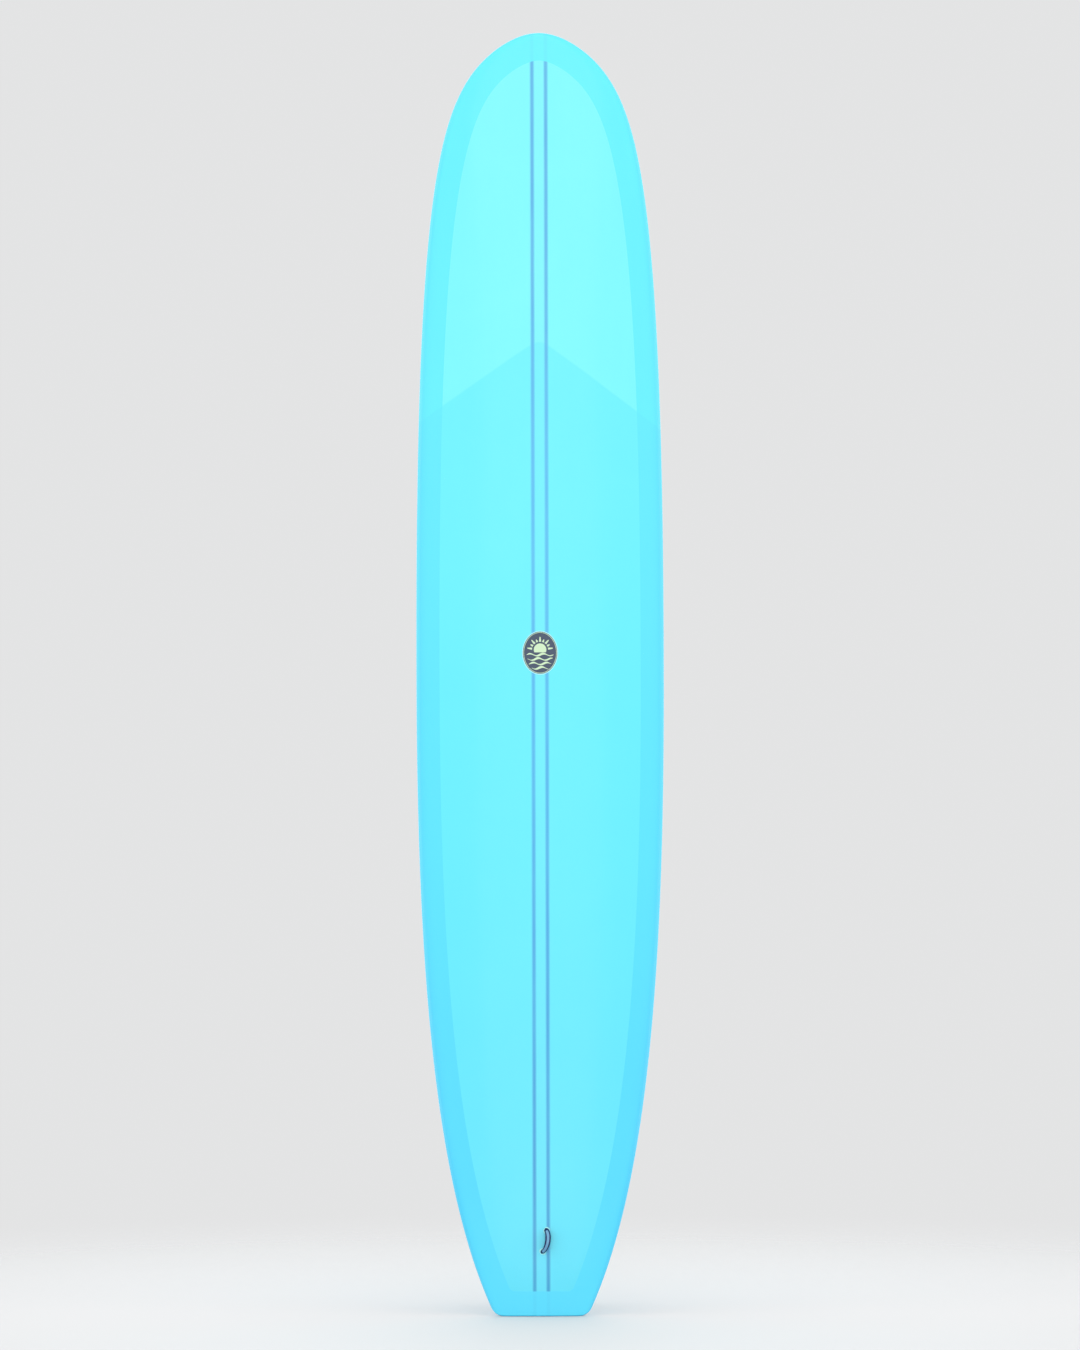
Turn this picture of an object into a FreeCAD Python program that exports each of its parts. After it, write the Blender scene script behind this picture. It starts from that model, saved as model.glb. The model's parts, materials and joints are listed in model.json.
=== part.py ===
import FreeCAD, Part

import math
import os

from FreeCAD import Matrix, Placement, Rotation, Vector

# A 9 ft 8 in double-stringer longboard with resin-tinted glass, a fin box and a single fin.
# Frame: the board is upright. Z runs from the tail's end face up to the nose, the deck faces -Y,
# and X is across the board. The origin is the middle of the tail's end face. Millimetres.

# ---- board outline ----
LENGTH = 2946.0
HALF_WIDTH = 285.75
WIDE_POINT = 1460.0
# control points (x, z) of the right half of the outline, from the nose tip to the wide point
NOSE_CURVE = [
    (0.0, LENGTH),
    (131.5, LENGTH),
    (218.0, 2740.0),
    (286.2, 2917.0),
    (HALF_WIDTH, 1760.0),
    (HALF_WIDTH, WIDE_POINT),
]
# and from the wide point to the corner of the square tail
TAIL_CURVE = [
    (HALF_WIDTH, WIDE_POINT),
    (HALF_WIDTH, 739.0),
    (237.8, 275.0),
    (107.0, 0.0),
]
TAIL_CORNER_RADIUS = 32.0

# ---- thickness, rocker and rails ----
THICKNESS = 76.0
NOSE_THICKNESS = 16.0
TAIL_THICKNESS = 24.0
NOSE_TAPER = 3.44
TAIL_TAPER = 3.33
LOW_POINT = 0.46 * LENGTH
NOSE_ROCKER = 115.0
NOSE_ROCKER_POWER = 2.3
TAIL_ROCKER = 82.0
TAIL_ROCKER_POWER = 2.1
APEX_SHARE = 0.44
CROWN_SHARE = 0.40
BOTTOM_RAIL_END = 0.9
BOTTOM_RAIL_GAIN = 1.1
DECK_RAIL_END = 1.0
DECK_RAIL_GAIN = 1.3

# ---- glass ----
GLASS = 1.2
PATCH_CLOTH = 0.35
PATCH_DEPTH = GLASS - PATCH_CLOTH
LAP_MIDDLE = 54.0
LAP_NOSE = 64.0
LAP_TAIL = 57.0
LAP_POWER = 5
LAP_CORNER_RADIUS = 16.0
PATCH_APEX = 2238.0
PATCH_SLOPE = 0.725
EMBLEM_CENTRE = 1524.0
EMBLEM_WIDTH = 83.0
EMBLEM_HEIGHT = 101.0
EMBLEM_DEPTH = 0.25
FIN_PATCH_LENGTH = 400.0
FIN_PATCH_WIDTH = 190.0

# ---- stringers ----
STRINGER_CENTRE = 15.7
STRINGER_THICKNESS = 6.0

# ---- outer foam, in three lengths, so that a convex hull round each one follows the rocker ----
FOAM_LENGTHS = [("tail", 0.0, 900.0), ("middle", 900.0, 1900.0), ("nose", 1900.0, LENGTH)]

# ---- leash loop ----
LOOP_FOOT = Vector(4.5, 0, 149.0)
LOOP_HEAD = Vector(13.5, 0, 194.0)
LOOP_ROPE_RADIUS = 5.5
LOOP_RISE = 16.5
LOOP_LEAN = 28.0

# ---- fin box, in its own frame: Y out of the bottom, Z toward the nose ----
BOX_CENTRE = 247.0
BOX_LENGTH = 273.0
BOX_FLANGE_WIDTH = 26.7
BOX_FLANGE_DEPTH = 3.2
BOX_BODY_LENGTH = 266.0
BOX_BODY_WIDTH = 20.0
BOX_DEPTH = 25.4
BOX_BED = 1.2
BOX_PROUD = 3.0
SLOT_LENGTH = 250.0
SLOT_WIDTH = 9.8
SLOT_DEPTH = 20.0
TRACK_WIDTH = 15.2
TRACK_LENGTH = 254.0
TRACK_TOP = 11.0
TRACK_FLOOR = 17.0
ENTRY_LENGTH = 13.0

# ---- fin ----
FIN_DEPTH = 250.0
FIN_THICKNESS = 9.0
FIN_TIP_THINNING = 0.62
FIN_TIP_ROUNDING = 4.0
FOIL_REAR_SHARE = 0.72
FOIL_FRONT_GAIN = 0.42
FIN_GAP = 0.4
FIN_FRONT_CURVE = [(84.0, 0.0), (60.0, 110.0), (-10.0, FIN_DEPTH), (-130.0, FIN_DEPTH)]
FIN_BACK_CURVE = [(-88.0, 0.0), (-70.0, 80.0), (-190.0, FIN_DEPTH), (-130.0, FIN_DEPTH)]
TAB_THICKNESS = 9.3
TAB_DEPTH = 18.5
TAB_LENGTH = 172.0
TONGUE_LENGTH = 21.0
TONGUE_TOP = 6.4
TONGUE_THICKNESS = 4.0
SCREW_FORWARD = 11.0
SCREW_RADIUS = 2.08
SCREW_HEAD_RADIUS = 3.8
SCREW_HEAD_HEIGHT = 2.6
SCREW_LENGTH = 11.5
SCREW_CLEARANCE = 0.05
SCREW_GROOVE_WIDTH = 1.1
SCREW_GROOVE_DEPTH = 1.2
TONGUE_HOLE_RADIUS = 2.6
PIN_RADIUS = 2.4
PIN_LENGTH = 14.6
PIN_DEPTH = 14.0
PIN_INSET = 7.0
PLATE_WIDTH = 14.6
PLATE_LENGTH = 12.0
PLATE_TOP = 11.4
PLATE_THICKNESS = 3.2
PLATE_GAP = 0.5

# ---- how finely the surfaces are laid out ----
NOSE_ROWS = 20
TAIL_ROWS = 16
QUARTER_POINTS = 9
FIN_ROWS = 12
FIN_LAST_STEP = 0.4
FIN_POINTS = 24
FACE_SPANS = 6
# points crowd toward the nose tip, and toward the rail's edge, as this power of even steps
CROWDING = 1.5
LAP_NOSE_POINTS = 14
LAP_TAIL_POINTS = 10
APEX_POINTS = 24
# how far the surface through the rails' widest line runs past both ends
END_MARGIN = 20.0
# the part of the tail's curve that can hold the tail's rounded corner, and its points
CORNER_SEARCH_START = 0.6
CORNER_SEARCH_POINTS = 400
# a distance that is beyond the board from anywhere in it
OUTSIDE = 500.0


# ---- curves ----
def bezier(points, u):
    """The point of a Bezier curve at u."""
    while len(points) > 1:
        points = [
            (a[0] + (b[0] - a[0]) * u, a[1] + (b[1] - a[1]) * u)
            for a, b in zip(points, points[1:])
        ]
    return points[0]


def bezier_slope(points, u):
    """The direction of a Bezier curve at u, unscaled."""
    legs = [(b[0] - a[0], b[1] - a[1]) for a, b in zip(points, points[1:])]
    return bezier(legs, u)


def outline_station(curve, u):
    """Half-width, height and outward normal (x, z) of the right rail at u along a curve."""
    x, z = bezier(curve, u)
    dx, dz = bezier_slope(curve, u)
    size = math.hypot(dx, dz)
    return x, z, -dz / size, dx / size


def even_steps(first, last, count):
    step = (last - first) / count
    return [first + step * k for k in range(count + 1)], step


def outline_stations():
    """Stations of the right rail from the nose tip to just past the tail.

    The first and last steps are split, as a cubic surface with clamped ends needs.
    """
    sweep, step = even_steps(1.0 / NOSE_ROWS, 1.0, NOSE_ROWS - 1)
    sweep.insert(1, sweep[0] + step / 3)
    nose = [outline_station(NOSE_CURVE, s**CROWDING) for s in sweep]
    run, step = even_steps(0.0, 1.0 + 1.0 / TAIL_ROWS, TAIL_ROWS + 1)
    run.insert(-1, run[-1] - step / 3)
    tail = [outline_station(TAIL_CURVE, u) for u in run[1:]]
    return nose + tail


# ---- the board's profile ----
def thickness(z):
    middle = LENGTH / 2
    if z > middle:
        share = (z - middle) / middle
        return THICKNESS - (THICKNESS - NOSE_THICKNESS) * share**NOSE_TAPER
    share = (middle - z) / middle
    return THICKNESS - (THICKNESS - TAIL_THICKNESS) * share**TAIL_TAPER


def rocker(z):
    if z > LOW_POINT:
        return NOSE_ROCKER * ((z - LOW_POINT) / (LENGTH - LOW_POINT)) ** NOSE_ROCKER_POWER
    return TAIL_ROCKER * ((LOW_POINT - z) / LOW_POINT) ** TAIL_ROCKER_POWER


def bottom_y(z):
    """Y of the bottom's centre line, with the tail's end face centred on the origin."""
    return TAIL_ROCKER + TAIL_THICKNESS / 2 - rocker(z)


def apex_y(z):
    """Y of the widest line of the rails."""
    return bottom_y(z) - APEX_SHARE * thickness(z)


def section(station, inset):
    """One closed cross-section of the board, or of the same shape inset by a layer."""
    half, height, out_x, out_z = station
    half = half - inset * out_x
    z = height - inset * out_z
    full = thickness(z)
    fullness = (full - NOSE_THICKNESS) / (THICKNESS - NOSE_THICKNESS)
    under = APEX_SHARE * full - inset
    over = (1 - APEX_SHARE) * full - inset
    crown = CROWN_SHARE * over
    shoulder = over - crown
    under_roll = (BOTTOM_RAIL_END + BOTTOM_RAIL_GAIN * fullness) * under
    over_roll = (DECK_RAIL_END + DECK_RAIL_GAIN * fullness) * shoulder
    quarter = [
        math.pi / 2 * (k / QUARTER_POINTS) ** CROWDING for k in range(QUARTER_POINTS + 1)
    ]

    def place(angle, side, deck):
        inward = math.sin(angle) ** 2
        depth = half * out_x * inward / 2
        if deck:
            rise = -(shoulder + crown * inward) * math.sqrt(1 - math.exp(-2 * depth / over_roll))
        else:
            rise = under * math.sqrt(1 - math.exp(-2 * depth / under_roll))
        return Vector(side * half * math.cos(angle), apex_y(z) + rise, z)

    right_under = [place(a, 1, False) for a in reversed(quarter)]
    right_over = [place(a, 1, True) for a in quarter[1:]]
    left_over = [place(a, -1, True) for a in reversed(quarter[:-1])]
    left_under = [place(a, -1, False) for a in quarter[1:-1]]
    return right_under + right_over + left_over + left_under


# ---- solids from nets of points ----
def sharpened(before, here, after):
    """A control point that makes the cubic surface run through the given point."""
    return here - (before - here * 2 + after) / 6


def net_solid(rows):
    """A solid skinned over closed rows of points, with a flat cap on the first and last row."""
    count = len(rows[0])
    poles = []
    for row in rows:
        poles.append(
            [sharpened(row[j - 1], row[j], row[(j + 1) % count]) for j in range(count)]
        )
    inner = range(2, len(rows) - 2)
    smooth = {
        i: [sharpened(poles[i - 1][j], poles[i][j], poles[i + 1][j]) for j in range(count)]
        for i in inner
    }
    for i in inner:
        poles[i] = smooth[i]
    spans = len(rows) - 3
    surface = Part.BSplineSurface()
    surface.buildFromPolesMultsKnots(
        poles,
        [4] + [1] * (spans - 1) + [4],
        [1] * (count + 1),
        [float(k) for k in range(spans + 1)],
        [float(k) for k in range(count + 1)],
        False,
        True,
        3,
        3,
    )
    faces = []
    rims = {0: [], spans: []}
    lengthwise = list(range(0, spans - FACE_SPANS + 1, FACE_SPANS)) + [spans]
    around = [count * k // 4 for k in range(5)]
    for low, high in zip(lengthwise, lengthwise[1:]):
        for start, stop in zip(around, around[1:]):
            piece = surface.copy()
            piece.segment(low, high, start, stop)
            faces.append(piece.toShape())
            for end in rims.keys() & {low, high}:
                rims[end].append(piece.uIso(end).toShape())
    caps = [Part.Face(Part.Wire(Part.__sortEdges__(rim))) for rim in rims.values()]
    shell = Part.makeShell(faces + caps)
    shell.sewShape()
    solid = Part.Solid(shell)
    if solid.Volume < 0:
        solid.reverse()
    return solid


def prism(wire):
    """Everything whose place in the XZ plane is inside the wire."""
    lowered = wire.copy()
    lowered.translate(Vector(0, -OUTSIDE, 0))
    return Part.Face(lowered).extrude(Vector(0, 2 * OUTSIDE, 0))


def polygon(points):
    corners = [Vector(x, 0, z) for x, z in points]
    return Part.makePolygon(corners + corners[:1])


def square_end(rail, level, radius):
    """Everything above a level, with corners rounded so that they run into a rail's curve."""
    centre_z = level + radius
    inside, outside = 0.0, min(rail, key=lambda p: abs(p[1] - centre_z))[0]
    while outside - inside > 0.001:
        centre_x = (inside + outside) / 2
        gap = min(math.hypot(x - centre_x, z - centre_z) for x, z in rail)
        if gap > radius:
            inside = centre_x
        else:
            outside = centre_x
    touch = min(rail, key=lambda p: math.hypot(p[0] - centre_x, p[1] - centre_z))
    lean = math.atan2(touch[1] - centre_z, touch[0] - centre_x)
    halfway = (lean - math.pi / 2) / 2
    middle = (centre_x + radius * math.cos(halfway), centre_z + radius * math.sin(halfway))
    edges = []
    for side in (1, -1):
        start = Vector(side * centre_x, 0, level)
        bend = Vector(side * middle[0], 0, middle[1])
        end = Vector(side * touch[0], 0, touch[1])
        far = Vector(side * OUTSIDE, 0, touch[1] + OUTSIDE)
        top = Vector(side * OUTSIDE, 0, LENGTH + OUTSIDE)
        edges.append(Part.Arc(start, bend, end).toShape())
        edges.append(Part.makeLine(end, far))
        edges.append(Part.makeLine(far, top))
    edges.append(Part.makeLine(Vector(-centre_x, 0, level), Vector(centre_x, 0, level)))
    edges.append(
        Part.makeLine(
            Vector(-OUTSIDE, 0, LENGTH + OUTSIDE), Vector(OUTSIDE, 0, LENGTH + OUTSIDE)
        )
    )
    return prism(Part.Wire(Part.__sortEdges__(edges)))


def corner_search(rail_point):
    """Fine points of a rail near the tail, given the rail's point at a place on the tail's curve."""
    span = 1.0 - CORNER_SEARCH_START
    shares = [k / CORNER_SEARCH_POINTS for k in range(CORNER_SEARCH_POINTS + 1)]
    return [rail_point(CORNER_SEARCH_START + span * s) for s in shares]


def inset_point(curve, u, inset):
    """A point of the right rail, moved in by a distance."""
    x, z, out_x, out_z = outline_station(curve, u)
    return x - inset * out_x, z - inset * out_z


def hull_at(inset):
    """The board's whole shape, or the same shape inset by a layer on every side."""
    rows = [section(s, inset) for s in outline_stations()]
    rail = corner_search(lambda u: inset_point(TAIL_CURVE, u, inset))
    return net_solid(rows).common(square_end(rail, inset, TAIL_CORNER_RADIUS - inset))


# ---- regions that divide the layers ----
def deck_side():
    """Everything on the deck's side of the widest line of the rails."""
    reach = LENGTH + 2 * END_MARGIN
    heights = [reach * k / APEX_POINTS - END_MARGIN for k in range(APEX_POINTS + 1)]
    line = Part.BSplineCurve()
    line.interpolate([Vector(-OUTSIDE, apex_y(min(max(z, 0), LENGTH)), z) for z in heights])
    first, last = line.StartPoint, line.EndPoint
    corner = Vector(-OUTSIDE, -OUTSIDE, last.z)
    back = Vector(-OUTSIDE, -OUTSIDE, first.z)
    edges = [
        line.toShape(),
        Part.makeLine(last, corner),
        Part.makeLine(corner, back),
        Part.makeLine(back, first),
    ]
    return Part.Face(Part.Wire(edges)).extrude(Vector(2 * OUTSIDE, 0, 0))


def lap_width(z):
    """How far the bottom's glass is wrapped onto the deck, at a height up the board."""
    middle = LENGTH / 2
    share = abs(z - middle) / middle
    end = LAP_NOSE if z > middle else LAP_TAIL
    return LAP_MIDDLE + (end - LAP_MIDDLE) * share**LAP_POWER


def lap_point(curve, u):
    """The cut line of the lap beside a point of the right rail."""
    height = bezier(curve, u)[1]
    return inset_point(curve, u, lap_width(height))


def inlay_region():
    """The tinted field of the deck, inside the cut line of the lap."""
    nose_steps = [k / LAP_NOSE_POINTS for k in range(LAP_NOSE_POINTS + 1)]
    side = [lap_point(NOSE_CURVE, s**CROWDING) for s in nose_steps]
    side += [lap_point(TAIL_CURVE, (k + 1) / LAP_TAIL_POINTS) for k in range(LAP_TAIL_POINTS)]
    right = [Vector(max(x, 0.0), 0, z) for x, z in side]
    left = [Vector(-p.x, 0, p.z) for p in reversed(right[1:])]
    loop = Part.BSplineCurve()
    loop.interpolate(left + right)
    closing = Part.makeLine(loop.EndPoint, loop.StartPoint)
    field = prism(Part.Wire([loop.toShape(), closing]))
    tail = corner_search(lambda u: lap_point(TAIL_CURVE, u))
    return field.common(square_end(tail, LAP_TAIL, LAP_CORNER_RADIUS)).common(deck_side())


def patch_region():
    """The part of the deck behind the patch's V-shaped front edge."""
    drop = PATCH_APEX - PATCH_SLOPE * OUTSIDE
    corners = [(0.0, PATCH_APEX), (OUTSIDE, drop), (OUTSIDE, -OUTSIDE)]
    corners += [(-OUTSIDE, -OUTSIDE), (-OUTSIDE, drop)]
    return prism(polygon(corners))


def oval(centre, width, height):
    ring = Part.Ellipse(Vector(0, 0, 0), height / 2, width / 2)
    edge = ring.toShape()
    turn = Matrix(0, 1, 0, 0, 0, 0, 1, centre.y, 1, 0, 0, centre.z, 0, 0, 0, 1)
    edge.transformShape(turn)
    edge.translate(Vector(centre.x, 0, 0))
    return prism(Part.Wire([edge]))


def slab(low_x, high_x):
    """Everything between two planes across the board."""
    size = Vector(high_x - low_x, 2 * OUTSIDE, LENGTH + 2 * OUTSIDE)
    return Part.makeBox(size.x, size.y, size.z, Vector(low_x, -OUTSIDE, -OUTSIDE))


def crosswise_slab(low_z, high_z):
    """Everything between two heights."""
    corner = Vector(-OUTSIDE, -OUTSIDE, low_z)
    return Part.makeBox(2 * OUTSIDE, 2 * OUTSIDE, high_z - low_z, corner)


# ---- the fin system, built in the box's own frame ----
def box_placement():
    """Puts the box's frame on the bottom: tangent to it at the box's centre."""
    step = 1.0
    fall = (bottom_y(BOX_CENTRE + step) - bottom_y(BOX_CENTRE - step)) / (2 * step)
    tilt = -math.degrees(math.atan(fall))
    return Placement(Vector(0, bottom_y(BOX_CENTRE), BOX_CENTRE), Rotation(Vector(1, 0, 0), tilt))


def bar(width, length, top, floor, centre=0.0):
    """A bar along the box with round ends, between two depths below the bottom's surface."""
    radius = width / 2
    run = length / 2 - radius
    depth = top - floor
    core = Part.makeBox(width, depth, 2 * run, Vector(-radius, floor, centre - run))
    ends = [
        Part.makeCylinder(radius, depth, Vector(0, floor, centre + side * run), Vector(0, 1, 0))
        for side in (1, -1)
    ]
    return core.fuse(ends).removeSplitter()


def box_envelope(extra):
    """The outside of the fin box, grown by the thickness of its resin bed."""
    flange = bar(
        BOX_FLANGE_WIDTH + 2 * extra, BOX_LENGTH + 2 * extra, BOX_PROUD, -BOX_FLANGE_DEPTH - extra
    )
    body = bar(
        BOX_BODY_WIDTH + 2 * extra, BOX_BODY_LENGTH + 2 * extra, BOX_PROUD, -BOX_DEPTH - extra
    )
    return flange.fuse(body).removeSplitter()


def box_cavity():
    """The slot, the wider track under it and the entry for the plate and the roll pin."""
    slot = bar(SLOT_WIDTH, SLOT_LENGTH, 2 * BOX_PROUD, -SLOT_DEPTH)
    track = bar(TRACK_WIDTH, TRACK_LENGTH, -TRACK_TOP, -TRACK_FLOOR)
    entry = Part.makeBox(
        TRACK_WIDTH,
        2 * BOX_PROUD + TRACK_FLOOR,
        ENTRY_LENGTH,
        Vector(-TRACK_WIDTH / 2, -TRACK_FLOOR, -ENTRY_LENGTH / 2),
    )
    return slot.fuse([track, entry]).removeSplitter()


def edge_at(curve, depth):
    """Where a Bezier edge of the fin crosses a depth."""
    low, high = 0.0, 1.0
    for _ in range(50):
        middle = (low + high) / 2
        if bezier(curve, middle)[1] < depth:
            low = middle
        else:
            high = middle
    return bezier(curve, low)[0]


def fin_row(depth):
    """The foil of the fin at a depth below the bottom."""
    front = edge_at(FIN_FRONT_CURVE, depth)
    back = edge_at(FIN_BACK_CURVE, depth)
    chord = front - back
    share = depth / FIN_DEPTH
    tip = math.sqrt(1 - math.exp(-(FIN_DEPTH - depth) / FIN_TIP_ROUNDING))
    thick = FIN_THICKNESS * (1 - FIN_TIP_THINNING * share**1.5) * tip
    row = []
    for k in range(FIN_POINTS):
        angle = 2 * math.pi * k / FIN_POINTS
        along = (1 + math.cos(angle)) / 2
        fullness = FOIL_REAR_SHARE + FOIL_FRONT_GAIN * along
        row.append(Vector(thick / 2 * math.sin(angle) * fullness, depth, back + chord * along))
    return row


def fin_blade():
    sweep, step = even_steps(0.0, 1.0 - FIN_LAST_STEP / FIN_ROWS, FIN_ROWS)
    sweep.insert(1, step / 3)
    sweep.insert(-1, sweep[-1] - step / 3)
    span = FIN_DEPTH - FIN_GAP
    rows = [fin_row(FIN_DEPTH - span * (1 - s) ** 2) for s in sweep]
    return net_solid(rows)


def screw_axis_point(depth):
    """A point on the screw's axis, at a depth below the bottom's surface."""
    return Vector(0, -depth, TAB_LENGTH / 2 + SCREW_FORWARD)


def fin_solid():
    tab = bar(TAB_THICKNESS, TAB_LENGTH, FIN_GAP, -TAB_DEPTH)
    tongue_length = TONGUE_LENGTH + TAB_THICKNESS
    tongue = bar(
        TAB_THICKNESS,
        tongue_length,
        -TONGUE_TOP,
        -TONGUE_TOP - TONGUE_THICKNESS,
        TAB_LENGTH / 2 + TONGUE_LENGTH - tongue_length / 2,
    )
    hole = Part.makeCylinder(
        TONGUE_HOLE_RADIUS, TAB_DEPTH, screw_axis_point(TAB_DEPTH), Vector(0, 1, 0)
    )
    plate_room = Part.makeBox(
        TRACK_WIDTH,
        TAB_DEPTH - TONGUE_TOP - TONGUE_THICKNESS + PLATE_GAP,
        PLATE_LENGTH + 2 * PLATE_GAP,
        screw_axis_point(TAB_DEPTH + PLATE_GAP)
        - Vector(TRACK_WIDTH / 2, 0, PLATE_LENGTH / 2 + PLATE_GAP),
    )
    whole = fin_blade().fuse([tab, tongue]).cut(hole).cut(plate_room).cut(roll_pin())
    return whole.removeSplitter()


def roll_pin():
    start = Vector(-PIN_LENGTH / 2, -PIN_DEPTH, -TAB_LENGTH / 2 + PIN_INSET)
    return Part.makeCylinder(PIN_RADIUS, PIN_LENGTH, start, Vector(1, 0, 0))


def fin_plate():
    corner = screw_axis_point(PLATE_TOP + PLATE_THICKNESS)
    corner -= Vector(PLATE_WIDTH / 2, 0, PLATE_LENGTH / 2)
    plate = Part.makeBox(PLATE_WIDTH, PLATE_THICKNESS, PLATE_LENGTH, corner)
    bore = Part.makeCylinder(
        SCREW_RADIUS + SCREW_CLEARANCE, TAB_DEPTH, screw_axis_point(TAB_DEPTH), Vector(0, 1, 0)
    )
    return plate.cut(bore)


def fin_screw():
    head = Part.makeCylinder(
        SCREW_HEAD_RADIUS, SCREW_HEAD_HEIGHT, screw_axis_point(TONGUE_TOP), Vector(0, 1, 0)
    )
    shank = Part.makeCylinder(
        SCREW_RADIUS, SCREW_LENGTH, screw_axis_point(TONGUE_TOP + SCREW_LENGTH), Vector(0, 1, 0)
    )
    groove = Part.makeBox(
        2 * SCREW_HEAD_RADIUS,
        SCREW_GROOVE_DEPTH,
        SCREW_GROOVE_WIDTH,
        screw_axis_point(TONGUE_TOP - SCREW_HEAD_HEIGHT + SCREW_GROOVE_DEPTH)
        - Vector(SCREW_HEAD_RADIUS, 0, SCREW_GROOVE_WIDTH / 2),
    )
    return head.fuse(shank).cut(groove).removeSplitter()


# ---- the leash loop ----
def deck_y(x, z):
    """Y of the deck near the centre line, at the tail."""
    full = (1 - APEX_SHARE) * thickness(z)
    across = x / edge_at([(b, a) for b, a in TAIL_CURVE[::-1]], z)
    return apex_y(z) - full * (1 - CROWN_SHARE * across**2)


def leash_loop(board):
    """An arch of glass rope: half a ring that leans sideways, with its feet in the deck."""
    middle = (LOOP_FOOT + LOOP_HEAD) / 2
    middle.y = deck_y(middle.x, middle.z)
    along = LOOP_HEAD - LOOP_FOOT
    along.y = deck_y(LOOP_HEAD.x, LOOP_HEAD.z) - deck_y(LOOP_FOOT.x, LOOP_FOOT.z)
    half_chord = along.Length / 2
    along.normalize()
    out = Vector(0, -1, 0) - along * along.dot(Vector(0, -1, 0))
    out.normalize()
    up = Rotation(along, LOOP_LEAN).multVec(out)
    radius = (half_chord**2 + LOOP_RISE**2) / (2 * LOOP_RISE)
    centre = middle - up * (radius - LOOP_RISE)
    ring = Part.makeTorus(radius, LOOP_ROPE_RADIUS, Vector(0, 0, 0), Vector(0, 0, 1), 0, 360, 180)
    normal = along.cross(up)
    frame = Matrix(
        along.x, up.x, normal.x, centre.x,
        along.y, up.y, normal.y, centre.y,
        along.z, up.z, normal.z, centre.z,
        0, 0, 0, 1,
    )
    ring.transformShape(frame)
    return ring.cut(board)


# ---- assembly ----
def write(name, shape):
    solids = shape.Solids
    whole = solids[0] if len(solids) == 1 else Part.makeCompound(solids)
    whole.exportStep(f"parts/{name}.step")
    print(name, "solids", len(solids), "mm3", round(whole.Volume), "valid", whole.isValid())


def main():
    os.makedirs("parts", exist_ok=True)
    place = box_placement()

    board = hull_at(0.0)
    under_emblem = hull_at(EMBLEM_DEPTH)
    over_patch = hull_at(PATCH_DEPTH)
    core = hull_at(GLASS)

    box_space = box_envelope(0.0)
    bed_space = box_envelope(BOX_BED)
    box_space.Placement = place
    bed_space.Placement = place
    cavity = box_cavity()
    cavity.Placement = place

    fin_box = box_space.common(board).cut(cavity)
    write("fin_box", fin_box)
    write("fin_box_bed", bed_space.common(board).cut(box_space))

    inner = STRINGER_CENTRE - STRINGER_THICKNESS / 2
    outer = STRINGER_CENTRE + STRINGER_THICKNESS / 2
    blank = core.cut(bed_space)
    for side, start, end in (("left", -OUTSIDE, -outer), ("right", outer, OUTSIDE)):
        half = blank.common(slab(start, end))
        for name, low, high in FOAM_LENGTHS:
            write(f"foam_{side}_{name}", half.common(crosswise_slab(low, high)))
    write("stringer_left", blank.common(slab(-outer, -inner)))
    write("foam_center", blank.common(slab(-inner, inner)))
    write("stringer_right", blank.common(slab(inner, outer)))

    inlay = inlay_region()
    lining = over_patch.cut(core)
    deck_patch = lining.common(inlay).common(patch_region())
    fin_area = oval(Vector(0, 0, BOX_CENTRE), FIN_PATCH_WIDTH, FIN_PATCH_LENGTH)
    fin_patch = lining.common(fin_area).cut(deck_side()).cut(bed_space)
    badge = oval(Vector(0, 0, EMBLEM_CENTRE), EMBLEM_WIDTH, EMBLEM_HEIGHT)
    emblem = board.cut(under_emblem).common(badge.common(deck_side()))
    glass = board.cut(core)
    write("deck_patch", deck_patch)
    write("fin_patch", fin_patch)
    write("deck_emblem", emblem)
    write("deck_glass", glass.common(inlay).cut(deck_patch).cut(emblem))
    write("bottom_glass", glass.cut(inlay).cut(fin_patch).cut(bed_space))
    write("leash_loop", leash_loop(board))

    for name, shape in (
        ("fin", fin_solid()),
        ("fin_roll_pin", roll_pin()),
        ("fin_plate", fin_plate()),
        ("fin_screw", fin_screw()),
    ):
        shape.Placement = place
        write(name, shape)


main()
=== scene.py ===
import json
import math

import bmesh
import bpy
import numpy as np
from mathutils import Matrix, Vector
from mathutils.geometry import delaunay_2d_cdt


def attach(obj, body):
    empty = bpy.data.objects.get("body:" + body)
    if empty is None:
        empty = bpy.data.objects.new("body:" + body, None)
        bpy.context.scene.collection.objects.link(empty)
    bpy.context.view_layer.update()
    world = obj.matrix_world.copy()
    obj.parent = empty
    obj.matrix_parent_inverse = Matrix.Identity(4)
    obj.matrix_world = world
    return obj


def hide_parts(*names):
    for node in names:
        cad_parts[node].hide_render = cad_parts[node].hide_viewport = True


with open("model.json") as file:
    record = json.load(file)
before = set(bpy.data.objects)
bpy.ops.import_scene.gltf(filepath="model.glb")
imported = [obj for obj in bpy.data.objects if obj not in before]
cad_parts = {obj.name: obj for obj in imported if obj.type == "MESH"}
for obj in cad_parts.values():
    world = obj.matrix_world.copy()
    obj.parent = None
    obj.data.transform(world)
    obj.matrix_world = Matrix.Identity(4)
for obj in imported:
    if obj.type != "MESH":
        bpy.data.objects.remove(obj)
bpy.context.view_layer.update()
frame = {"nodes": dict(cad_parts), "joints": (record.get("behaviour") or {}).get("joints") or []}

# The frame: Z runs from the tail up to the nose, the deck faces -Y, X is across. Shapes are worked
# out in millimetres and written in metres.
MM = 0.001

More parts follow.
